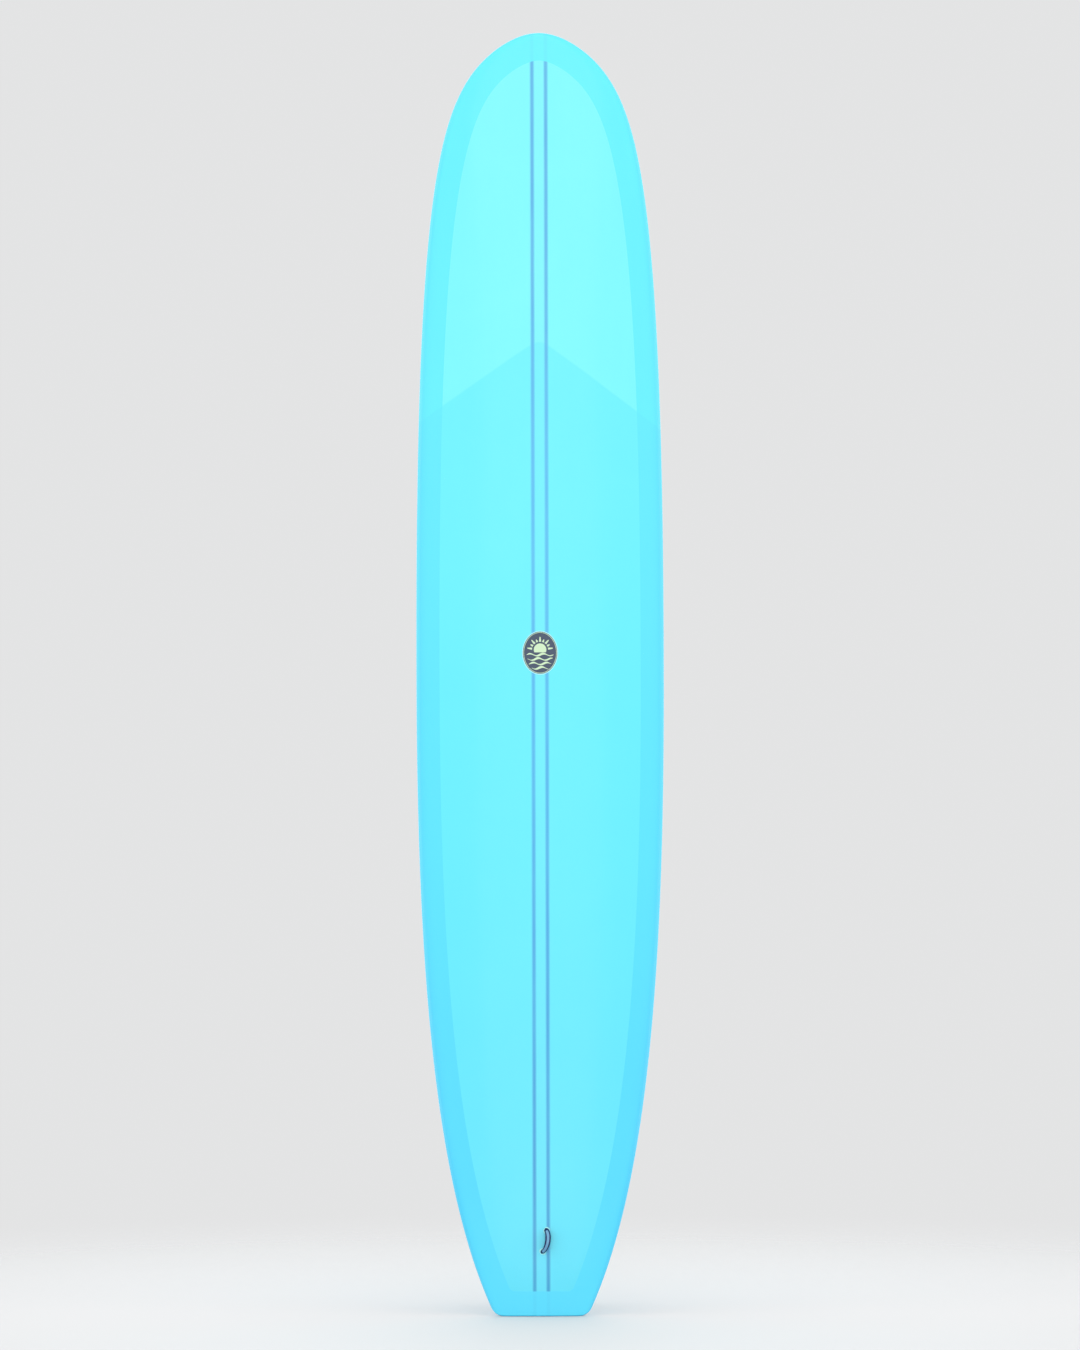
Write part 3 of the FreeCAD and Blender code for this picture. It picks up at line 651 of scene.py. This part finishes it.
def make_skin():
    outline, normal, cut, corner = half_paths()
    deck, bottom = surface(outline[:, 0], outline[:, 1])
    height = np.where(np.arange(len(outline)) > corner, bottom - deck, 0.0)
    rounding = np.minimum(EDGE_ROUNDING, 0.3 * height)
    rim = outline - normal * rounding[:, None]

    # where each station's line meets the centre line
    steps = np.linalg.norm(np.diff(cut, axis=0), axis=1)
    travel = np.concatenate([[0], np.cumsum(steps)])
    high = int(np.argmax(cut[:, 1] < NOSE_FAN))
    low = int(np.argmax(cut[:, 1] < TAIL_FAN))
    spine = cut[:, 1].copy()
    spine[:high] = np.interp(travel[:high], [0, travel[high]], [NOSE_FAN_END, cut[high, 1]])
    spine[low:] = np.interp(travel[low:], [travel[low], travel[-1]], [cut[low, 1], TAIL_FAN_END])
    centre = np.stack([0 * spine, spine], -1)

    across = np.linspace(0, 1, FIELD_COLUMNS + 1)[None, :, None]
    field = centre[:, None] + (cut - centre)[:, None] * across
    share = np.linspace(0, 1, RAIL_COLUMNS + 1)[None, :, None]
    band = cut[:, None] + (rim - cut)[:, None] * (1 - (1 - share) ** 2)

    inlay = Mesh()
    inlay.both_sides(lifted(field, True), 1.0)
    inlay.weld()
    inlay_piece = inlay.piece(
        "deck_field", "board", "deck_tint", [FINISH["deck"]], "deck_glass", "deck_patch"
    )

    def on_rim(points):
        """The rails' widest line is shared by the deck's side and the bottom's."""
        exact = surface(outline[:, 0] + HALF_WIDTH, outline[:, 1])[0]
        points[: corner + 1, -1, 1] = exact[: corner + 1]
        return points

    wrap = Mesh()
    wrap.both_sides(on_rim(lifted(band, True)), LAP_SHOW)
    # the stringers' show grows smoothly from the rail's widest line to the flat of the bottom
    fade = np.clip((1 - share[0, :, 0]) ** 2 * 3, 0, 1)
    marks = LAP_SHOW + (BOTTOM_SHOW - LAP_SHOW) * fade * fade * (3 - 2 * fade)
    wrap.both_sides(on_rim(lifted(band, False)), marks[None, :], True, 1)
    wrap.both_sides(lifted(field, False), BOTTOM_SHOW, True, 1)
    add_wall(wrap, outline, normal, corner, rounding)
    wrap.weld()
    cut_opening(wrap, BOTTOM_SHOW, 1)
    glass = [FINISH["lap"], FINISH["bottom"]]
    wrap_piece = wrap.piece(
        "bottom_and_rails", "board", "bottom_tint", glass, "bottom_glass", "fin_patch"
    )
    for piece in (inlay_piece, wrap_piece):
        thicken(piece, SKIN)


# ---- the emblem: a sun over waves, on an oval ----
EMBLEM_BORDER = 2.0
EMBLEM_RING = 3.4
EMBLEM_LINE = 1.0
SUN_RADIUS, SUN_HEIGHT, HORIZON = 14.5, 7.0, 1.0
RAYS, RAY_START, RAY_LONG, RAY_SHORT = 9, 18.5, 30.0, 25.5
# the rays' half width at the root and by the tip, and the gap before the first, in ray spacings
RAY_ROOT, RAY_TIP, RAY_GAP = 2.5, 1.2, 0.35
WAVES, WAVE_DROP, WAVE_GAP, WAVE_LENGTH = 4, 5.5, 10.2, 31.0
WAVE_SWELL, WAVE_THICKNESS, WAVE_THIN_SHARE, WAVE_THICK_SHARE = 2.4, 7.4, 0.30, 0.75
# how far each wave is ahead of the one above, and its thick part ahead of its crest, in turns
WAVE_STAGGER, WAVE_LEAD = 0.37, 0.175
WAVE_SIDE_ROOM, WAVE_END_ROOM = 10.0, 5.0
PRINT_SPACING, PRINT_THICKNESS, UNDER_PROUD, OVER_PROUD = 5.0, 0.06, 0.10, 0.16


def oval(inset, count=96):
    turn = 2 * np.pi * np.arange(count) / count
    a, b = EMBLEM_WIDTH / 2 - inset, EMBLEM_HEIGHT / 2 - inset
    return [(a * math.cos(t), EMBLEM_CENTRE + b * math.sin(t)) for t in turn]


def sun_shapes():
    middle = np.array([0.0, EMBLEM_CENTRE + SUN_HEIGHT])
    drop = math.asin((HORIZON - SUN_HEIGHT) / SUN_RADIUS)
    turns = np.linspace(drop, math.pi - drop, 40)
    shapes = [[tuple(middle + SUN_RADIUS * np.array([math.cos(t), math.sin(t)])) for t in turns]]
    for k in range(RAYS):
        turn = math.pi * (k + RAY_GAP) / (RAYS - 1 + 2 * RAY_GAP)
        out = np.array([math.cos(turn), math.sin(turn)])
        side = np.array([-math.sin(turn), math.cos(turn)])
        tip = RAY_SHORT if k % 2 else RAY_LONG
        bend = tip - RAY_TIP
        ray = [
            (RAY_START, RAY_ROOT),
            (bend, RAY_TIP),
            (tip, 0.0),
            (bend, -RAY_TIP),
            (RAY_START, -RAY_ROOT),
        ]
        shapes.append([tuple(middle + out * r + side * w) for r, w in ray])
    return shapes


def wave_shapes():
    """Bands that swell and thin along a sine, as wide as the oval lets each be."""
    shapes = []
    for k in range(WAVES):
        level = HORIZON - WAVE_DROP - WAVE_GAP * k
        room = level / (EMBLEM_HEIGHT / 2 - WAVE_END_ROOM)
        half = (EMBLEM_WIDTH / 2 - WAVE_SIDE_ROOM) * math.sqrt(1 - room**2)
        x = np.linspace(-half, half, 50)
        turn = x / WAVE_LENGTH + WAVE_STAGGER * k
        line = level + WAVE_SWELL * np.sin(2 * math.pi * turn)
        fat = 0.5 + 0.5 * np.sin(2 * math.pi * (turn + WAVE_LEAD))
        share = WAVE_THIN_SHARE + (WAVE_THICK_SHARE - WAVE_THIN_SHARE) * fat
        thick = WAVE_THICKNESS * share * np.sqrt(np.maximum(1 - (x / half) ** 2, 0)) / 2
        top = [(a, EMBLEM_CENTRE + b) for a, b in zip(x, line + thick)]
        low = [(a, EMBLEM_CENTRE + b) for a, b in zip(x[1:-1], (line - thick)[1:-1])]
        shapes.append(top + low[::-1])
    return shapes


def make_emblem():
    """Three printed sheets, one on the other."""
    border = [[oval(0.0), oval(EMBLEM_BORDER)]]
    field = [[oval(EMBLEM_BORDER)]]
    ring = [oval(EMBLEM_RING), oval(EMBLEM_RING + EMBLEM_LINE)]
    drawing = [ring] + [[loop] for loop in sun_shapes() + wave_shapes()]
    sheets = (
        ("emblem_border", border, UNDER_PROUD, "border", ["deck_emblem"]),
        ("emblem_field", field, UNDER_PROUD, "navy", []),
        ("emblem_print", drawing, OVER_PROUD, "cream", []),
    )
    for name, shapes, proud, finish, replaced in sheets:
        mesh = Mesh()
        for loops in shapes:
            mesh.shape(loops, PRINT_SPACING, proud)
        sheet = mesh.piece(name, "board", "emblem_print", [FINISH[finish]], *replaced)
        thicken(sheet, PRINT_THICKNESS)


# ---- the leash loop ----
LOOP_FOOT, LOOP_HEAD = (3.0, 148.5), (12.0, 196.5)
LOOP_RISE, LOOP_LEAN = 16.5, 24.5
LOOP_RADII = [(0.0, 4.6), (0.2, 5.2), (0.45, 6.6), (0.65, 6.8), (0.85, 5.8), (1.0, 5.0)]
LOOP_RINGS, LOOP_SIDES, LOOP_SUNK = 72, 40, 0.16
STRANDS, STRAND_TWIST, STRAND_GROOVE = 3, 2.1, 0.055
# how much the rope thickens at the deck, from what share of its size up, and over what height
FLARE, FLARE_FROM, FLARE_REACH = 0.5, 0.4, 2.2
PAD_RADIUS, PAD_HEIGHT, PAD_PROUD, PAD_RINGS, PAD_SIDES = 7.6, 1.3, 0.02, 13, 60
# the painted highlight along the rope's top: its half width, and how high the rope's middle must stand
# above the deck to carry it
HIGHLIGHT_HALF_WIDTH, HIGHLIGHT_CLEAR = 3.0, 1.5


def rope_arch():
    """The circle that the rope's middle follows: its centre and radius, its directions along the
    deck and up from it, and how far it turns each way from the top."""
    foot, head = (lifted(np.array(p), True) for p in (LOOP_FOOT, LOOP_HEAD))
    middle = lifted((np.array(LOOP_FOOT) + np.array(LOOP_HEAD)) / 2, True)
    along = (head - foot) / np.linalg.norm(head - foot)
    away = np.array([0, -1, 0]) - along * along.dot([0, -1, 0])
    away /= np.linalg.norm(away)
    lean = math.radians(LOOP_LEAN)
    up = away * math.cos(lean) + np.cross(along, away) * math.sin(lean)
    half = np.linalg.norm(head - foot) / 2
    radius = (half**2 + LOOP_RISE**2) / (2 * LOOP_RISE)
    reach = math.acos((radius - LOOP_RISE) / radius) + LOOP_SUNK
    return middle - up * (radius - LOOP_RISE), radius, along, up, reach


def rope_rings():
    """Rings of points along the twisted rope, their middles, and the middles' heights."""
    centre, radius, along, up, reach = rope_arch()
    side = np.cross(along, up)
    rings, spine, heights = [], [], []
    for k in range(LOOP_RINGS + 1):
        share = k / LOOP_RINGS
        turn = reach * (2 * share - 1)
        out = up * math.cos(turn) + along * math.sin(turn)
        middle = centre + radius * out
        height = surface(middle[0], middle[2])[0] - middle[1]
        size = np.interp(share, *zip(*LOOP_RADII))
        size += FLARE * math.exp(-max(height - size * FLARE_FROM, 0.0) / FLARE_REACH)
        ring = []
        for s in range(LOOP_SIDES + 1):
            angle = 2 * math.pi * (s % LOOP_SIDES) / LOOP_SIDES
            groove = math.cos(STRANDS * (angle + STRAND_TWIST * 2 * math.pi * share))
            r = size * (1 - STRAND_GROOVE * (0.5 - 0.5 * groove) ** 3)
            ring.append(middle + r * (out * math.cos(angle) + side * math.sin(angle)))
        rings.append(ring)
        spine.append(middle)
        heights.append(height)
    return np.array(rings), np.array(spine), np.array(heights)


def make_pads(spine, heights):
    """A low dome of resin where each half of the rope goes into the deck."""
    pads = Mesh()
    half_way = len(heights) // 2
    for part in (slice(0, half_way), slice(half_way, None)):
        place = spine[part][np.argmin(abs(heights[part]))][[0, 2]]
        r = np.linspace(0, 1, PAD_RINGS + 1)[:, None]
        turn = np.linspace(0, 2 * math.pi, PAD_SIDES + 1)[None, :]
        wobble = 1 + 0.06 * np.sin(2 * turn + place[0]) + 0.03 * np.sin(5 * turn)
        around = np.stack([np.cos(turn), np.sin(turn)], -1)
        plan = place + PAD_RADIUS * (r * wobble)[..., None] * around
        dome = PAD_HEIGHT * (1 - r**2) ** 1.5 + 0 * turn
        pads.grid(lifted(plan, True, dome + PAD_PROUD), flip=True)
    pads.weld()
    pads.piece("leash_resin_pads", "board", "clear_resin", [FINISH["pad"]])


def make_loop():
    """An arch of twisted glass rope with its ends in pads of resin."""
    rings, spine, heights = rope_rings()
    # how near each point is, seen square to the deck, to the line along the rope's middle: this sets
    # where the painted highlight runs along the rope's top
    line = spine[heights > HIGHLIGHT_CLEAR][:, [0, 2]]
    apart = np.linalg.norm(rings[:, :, None, [0, 2]] - line, axis=-1).min(-1)
    rope = Mesh("ridge")
    rope.grid(rings, np.clip(1.5 - apart / HIGHLIGHT_HALF_WIDTH, 0, 1), flip=True)
    rope.weld()
    rope.piece("leash_rope", "board", "glass_rope", [FINISH["rope"]], "leash_loop")
    make_pads(spine, heights)


def print_ink(name, colour, fleck):
    """Ink on rice paper, with its long fibres, sealed under the gloss coat."""
    f = Finish(name, Coat_Weight=0.35, Coat_Roughness=0.06)
    fibres = f.noise(420.0, 4.0, 0.65, 1.4, stretch=(1.0, 1.0, 0.35))
    cloud = f.noise(55.0, 3.0)
    shade = f.mix(f.span(fibres, 0.42, 0.72, 0.0, 0.30), colour, fleck)
    shade = f.mix(f.span(cloud, 0.35, 0.7, 0.0, 0.10), shade, fleck)
    f.bump(fibres, 0.00003, 0.4)
    return f.done(shade, f.span(fibres, 0.3, 0.7, 0.16, 0.26))


def rope_finish():
    """Glass rope wetted out with dark resin: a painted highlight, pale, along its top where it faces
    the front, and dark down its sides, where the resin's dark also stands in for painted shade.
    """
    f = Finish("glass_rope", Coat_Weight=0.2, Coat_Roughness=0.1, Specular_IOR_Level=0.2)
    strands = f.noise(700.0, 3.0, 0.6, 0.8, stretch=(1.0, 1.0, 0.25))
    highlight_reach = f.node("ShaderNodeAttribute", {"attribute_name": "ridge"}).outputs["Fac"]
    highlight_reach = f.math("ADD", highlight_reach, f.math("MULTIPLY", f.math("SUBTRACT", strands, 0.5), 0.25))
    # painted highlight: pale where the rope's top faces the front near its middle line; the sides keep
    # the dark, which is both the resin's colour and painted shade
    ridge = f.math("MULTIPLY", f.span(highlight_reach, 0.35, 0.75), f.span(f.facing(), -0.30, -0.05, 1.0, 0.0))
    shaded_side_colour = f.mix(strands, tone(28, 44, 92), tone(50, 64, 108))
    lit_top_colour = f.mix(strands, tone(112, 164, 202), tone(142, 188, 222))
    f.bump(strands, 0.00012, 0.7)
    return f.done(f.mix(ridge, shaded_side_colour, lit_top_colour), f.span(strands, 0.3, 0.7, 0.18, 0.34))


def pad_finish():
    """Clear resin pooled at the rope's feet, over the deck's tint, coloured paler than the deck as a
    painted highlight on top of its own gloss.
    """
    f = Finish("pooled_resin", Coat_Weight=0.8, Coat_Roughness=0.03)
    cloud = f.noise(260.0, 3.0, 0.5, 0.6)
    f.bump(cloud, 0.0002, 0.4)
    # paler than the deck round it: a painted highlight
    colour = f.mix(cloud, tone(150, 248, 255), tone(186, 255, 255))
    return f.done(colour, f.span(cloud, 0.3, 0.7, 0.05, 0.12))


FINISH = {
    "rope": rope_finish(),
    "pad": pad_finish(),
    "navy": print_ink("navy_print", tone(64, 78, 100), tone(84, 102, 124)),
    "cream": print_ink("cream_print", tone(212, 240, 200), tone(196, 228, 188)),
    "border": print_ink("paper_border", tone(176, 246, 255), tone(196, 250, 255)),
    "deck": tinted_glass("deck_tinted_glass", DECK_TONES, PATCH_TONES),
    "lap": tinted_glass("lap_tinted_glass", LAP_AHEAD_TONES, LAP_TONES),
    "bottom": tinted_glass(
        "bottom_tinted_glass", LAP_TONES, oval=(FIN_PATCH_WIDTH / 2, FIN_PATCH_LENGTH / 2)
    ),
}
make_skin()
make_emblem()
make_loop()


# ---- the CAD's own nodes, which stay as they are ----
def foam_finish():
    """Closed-cell foam, planed and sanded."""
    f = Finish("planed_foam", Specular_IOR_Level=0.2)
    cells = f.node("ShaderNodeTexVoronoi", Vector=f.place, Scale=900.0).outputs["Distance"]
    f.bump(cells, 0.0002, 0.6)
    cloud = f.noise(20.0, 4.0)
    colour = f.mix(cloud, (0.86, 0.85, 0.78, 1), (0.92, 0.91, 0.86, 1))
    return f.done(colour, f.span(cells, 0.0, 1.0, 0.7, 0.95))


def wood_finish():
    """A planed stringer: long grain with darker late wood."""
    f = Finish("stringer_wood")
    grain = f.noise(90.0, 5.0, 0.6, 0.8, stretch=(1.0, 1.0, 0.03))
    f.bump(grain, 0.0002, 0.5)
    return f.done(
        f.ramp(grain, [(0.3, (0.36, 0.22, 0.11, 1)), (0.6, (0.62, 0.44, 0.26, 1))]),
        f.span(grain, 0.3, 0.7, 0.5, 0.7),
    )


def plastic_finish():
    """The fin box: moulded plastic, with its top sanded flush with the board."""
    f = Finish("moulded_plastic", Specular_IOR_Level=0.4)
    grit = f.noise(900.0, 3.0, 0.6)
    scratches = f.noise(300.0, 2.0, 0.5, 0.2, stretch=(4.0, 1.0, 0.12))
    f.bump(grit, 0.00006, 0.5)
    f.bump(scratches, 0.00004, 0.5)
    colour = f.mix(scratches, (0.66, 0.70, 0.72, 1), (0.76, 0.79, 0.80, 1))
    return f.done(colour, f.span(grit, 0.3, 0.7, 0.35, 0.5))


def bed_finish():
    """Resin that beds the fin box, clear over the tint."""
    f = Finish("bedding_resin", Coat_Weight=0.5, Coat_Roughness=0.05)
    cloud = f.noise(300.0, 3.0, 0.5, 0.5)
    f.bump(cloud, 0.00005, 0.5)
    colour = f.mix(cloud, tone(64, 186, 226), tone(84, 206, 240))
    return f.done(colour, f.span(cloud, 0.3, 0.7, 0.1, 0.2))


# the fin's back and front edges, as (run, depth)
FIN_EDGES = [
    [(-88.0, 0.0), (-70.0, 80.0), (-190.0, 250.0), (-130.0, 250.0)],
    [(84.0, 0.0), (60.0, 110.0), (-10.0, 250.0), (-130.0, 250.0)],
]
# how full its section is at the back, how much fuller at the front, and how it thins with depth
FIN_FULLNESS, FIN_FRONT_GAIN, FIN_THINNING_POWER = 0.72, 0.42, 1.5
# the runs that a curve node holds, and how many points it is drawn through
EDGE_FROM, EDGE_SPAN, EDGE_POINTS = -200.0, 300.0, 15
CLOTH_LAYER = 0.62


def fin_edge(f, share, edge):
    """Where an edge of the fin is at a share of its depth, as a share of EDGE_SPAN."""
    points = bezier(edge, np.linspace(0, 1, EDGE_POINTS))
    return f.curve(share, [(depth / FIN_DEPTH, (run - EDGE_FROM) / EDGE_SPAN) for run, depth in points])


def foil_half_thickness(f):
    """Half the fin's thickness here in metres, from the curves that shape the part."""
    y = f.math("SUBTRACT", f.y, float(surface(0.0, BOX_CENTRE)[1]) * MM)
    z = f.math("SUBTRACT", f.z, BOX_CENTRE * MM)
    depth = f.math("SUBTRACT", f.math("MULTIPLY", y, BOX_COSINE), f.math("MULTIPLY", z, BOX_SINE))
    run = f.math("ADD", f.math("MULTIPLY", y, BOX_SINE), f.math("MULTIPLY", z, BOX_COSINE))
    share = f.span(depth, 0.0, FIN_DEPTH * MM, smooth=False)
    run = f.math("DIVIDE", f.math("SUBTRACT", run, EDGE_FROM * MM), EDGE_SPAN * MM)
    back, front = (fin_edge(f, share, edge) for edge in FIN_EDGES)
    along = f.span(run, back, front, smooth=False)
    circle = f.math("SQRT", f.math("MULTIPLY", along, f.math("SUBTRACT", 1.0, along)))
    full = f.math("ADD", FIN_FULLNESS, f.math("MULTIPLY", along, FIN_FRONT_GAIN))
    taper = f.math("MULTIPLY", f.math("POWER", share, FIN_THINNING_POWER), FIN_TIP_THINNING)
    thick = f.math("MULTIPLY", f.math("SUBTRACT", 1.0, taper), FIN_THICKNESS * MM)
    return f.math("MULTIPLY", f.math("MULTIPLY", circle, full), thick)


def fin_finish():
    """Laid-up glass: the cloth's layers show as contour lines where the foil was sanded
    through them, with the weave between, under a polished coat."""
    f = Finish("laid_up_glass", Coat_Weight=0.8, Coat_Roughness=0.04, IOR=1.52)
    wander = f.math("MULTIPLY", f.noise(30.0, 2.0), 0.0003)
    depth = f.math("ADD", foil_half_thickness(f), wander)
    layers = f.math("FRACT", f.math("DIVIDE", depth, CLOTH_LAYER * MM))
    line = f.span(layers, 0.06, 0.30, 0.55, 0.0)
    turned = f.node("ShaderNodeMapping", Vector=f.place, Rotation=(math.radians(38.0), 0, 0))
    threads = {"Vector": turned.outputs[0], "Scale": 130.0, "Distortion": 0.6}
    warp = f.node("ShaderNodeTexWave", {"bands_direction": "Y"}, **threads)
    weft = f.node("ShaderNodeTexWave", {"bands_direction": "Z"}, **threads)
    cloth = f.math("MAXIMUM", warp.outputs["Fac"], weft.outputs["Fac"])
    cloud = f.noise(18.0, 4.0, 0.6, 0.8)
    colour = f.mix(cloud, (0.012, 0.10, 0.21, 1), (0.018, 0.17, 0.31, 1))
    colour = f.mix(f.math("MULTIPLY", cloth, 0.28), colour, (0.05, 0.33, 0.46, 1))
    colour = f.mix(line, colour, (0.10, 0.46, 0.58, 1))
    f.bump(cloth, 0.00003, 0.4)
    return f.done(colour, f.math("ADD", f.math("MULTIPLY", cloud, 0.10), 0.10))


def steel_finish():
    """Stainless steel, turned or brushed."""
    f = Finish("brushed_steel", Metallic=1.0)
    brush = f.noise(2600.0, 3.0, 0.6, stretch=(1.0, 1.0, 0.04))
    f.bump(brush, 0.00003, 0.5)
    colour = f.mix(brush, (0.52, 0.53, 0.55, 1), (0.70, 0.71, 0.72, 1))
    return f.done(colour, f.span(brush, 0.3, 0.7, 0.22, 0.38))


KEPT = {
    "stringer_left": wood_finish,
    "stringer_right": wood_finish,
    "fin_box": plastic_finish,
    "fin_box_bed": bed_finish,
    "fin": fin_finish,
    "fin_roll_pin": steel_finish,
    "fin_plate": steel_finish,
    "fin_screw": steel_finish,
}
KEPT.update({name: foam_finish for name in frame["nodes"] if name.startswith("foam_")})
made_finishes = {make: make() for make in KEPT.values()}
for node_name, make in KEPT.items():
    kept = frame["nodes"][node_name]
    kept.data.materials.clear()
    kept.data.materials.append(made_finishes[make])


# ---- the stage, the light and the camera ----
def broad_light(name, toward, strength):
    """A wide soft light far away, so it falls evenly over the board's whole height."""
    light = bpy.data.lights.new(name, "SUN")
    light.energy = strength
    light.angle = LIGHT_ANGLE
    made = bpy.data.objects.new(name, light)
    made.rotation_mode = "QUATERNION"
    made.rotation_quaternion = Vector(toward).to_track_quat("Z", "Y")
    bpy.context.scene.collection.objects.link(made)


FLOOR_RADIUS, FLOOR_RINGS, FLOOR_SPOKES = 3.2, 24, 96
# a hair below the tail, so that the two don't share a plane
FLOOR_HEIGHT = -0.0005
SKY_STRENGTH = 0.78
FRONT_STRENGTH, BACK_STRENGTH = 1.16, 0.95
LIGHT_ANGLE = math.radians(120.0)


def make_stage():
    """A round sheet of paper that fades into the backdrop."""
    bm = bmesh.new()
    middle = bm.verts.new((0, 0, FLOOR_HEIGHT))
    last = None
    for k in range(1, FLOOR_RINGS + 1):
        ring = []
        for s in range(FLOOR_SPOKES):
            turn = 2 * math.pi * s / FLOOR_SPOKES
            r = FLOOR_RADIUS * k / FLOOR_RINGS
            ring.append(bm.verts.new((r * math.cos(turn), r * math.sin(turn), FLOOR_HEIGHT)))
        for s in range(FLOOR_SPOKES):
            t = (s + 1) % FLOOR_SPOKES
            if last is None:
                bm.faces.new((middle, ring[s], ring[t]))
            else:
                bm.faces.new((last[s], ring[s], ring[t], last[t]))
        last = ring
    data = bpy.data.meshes.new("floor")
    bm.to_mesh(data)
    bm.free()
    floor = bpy.data.objects.new("floor", data)
    bpy.context.scene.collection.objects.link(floor)
    f = Finish("floor_paper", Specular_IOR_Level=0.1)
    away = f.node("ShaderNodeVectorMath", {"operation": "LENGTH"}, Vector=f.place).outputs["Value"]
    f.feed(f.shader.inputs["Alpha"], f.span(away, 0.7, 3.1, 1.0, 0.0))
    grain = f.noise(240.0, 3.0)
    f.bump(grain, 0.0004, 0.2)
    colour = f.mix(grain, (0.62, 0.625, 0.63, 1), (0.66, 0.665, 0.67, 1))
    data.materials.append(f.done(colour, f.span(grain, 0.2, 0.8, 0.7, 0.85)))


def light_studio():
    world = bpy.data.worlds.new("studio")
    world.use_nodes = True
    sky = world.node_tree.nodes["Background"]
    sky.inputs["Color"].default_value = (0.99, 0.995, 1.0, 1)
    sky.inputs["Strength"].default_value = SKY_STRENGTH
    bpy.context.scene.world = world
    for side in (-1, 1):
        broad_light("front", (1.2 * side, -1.0, 0.45), FRONT_STRENGTH)
        broad_light("back", (1.2 * side, 1.0, 0.65), BACK_STRENGTH)


# the height that the view takes in at the board, the point it is centred on, and its tilt
VIEW_HEIGHT = 3102.8
AIM_X, AIM_Z = -0.3, 1472.8
LEAN = math.radians(0.134)
LENS, FILM = 180.0, 36.0


def make_camera():
    data = bpy.data.cameras.new("camera")
    data.lens = LENS
    data.sensor_width = FILM
    distance = VIEW_HEIGHT * LENS / FILM
    camera = bpy.data.objects.new("camera", data)
    turn = Matrix.Rotation(LEAN, 4, "Y") @ Matrix.Rotation(math.pi / 2, 4, "X")
    camera.matrix_world = Matrix.Translation(Vector((AIM_X, -distance, AIM_Z)) * MM) @ turn
    data.clip_end = 200.0
    bpy.context.scene.collection.objects.link(camera)
    bpy.context.scene.camera = camera
    bpy.context.scene.view_settings.view_transform = "Standard"


make_stage()
light_studio()
make_camera()
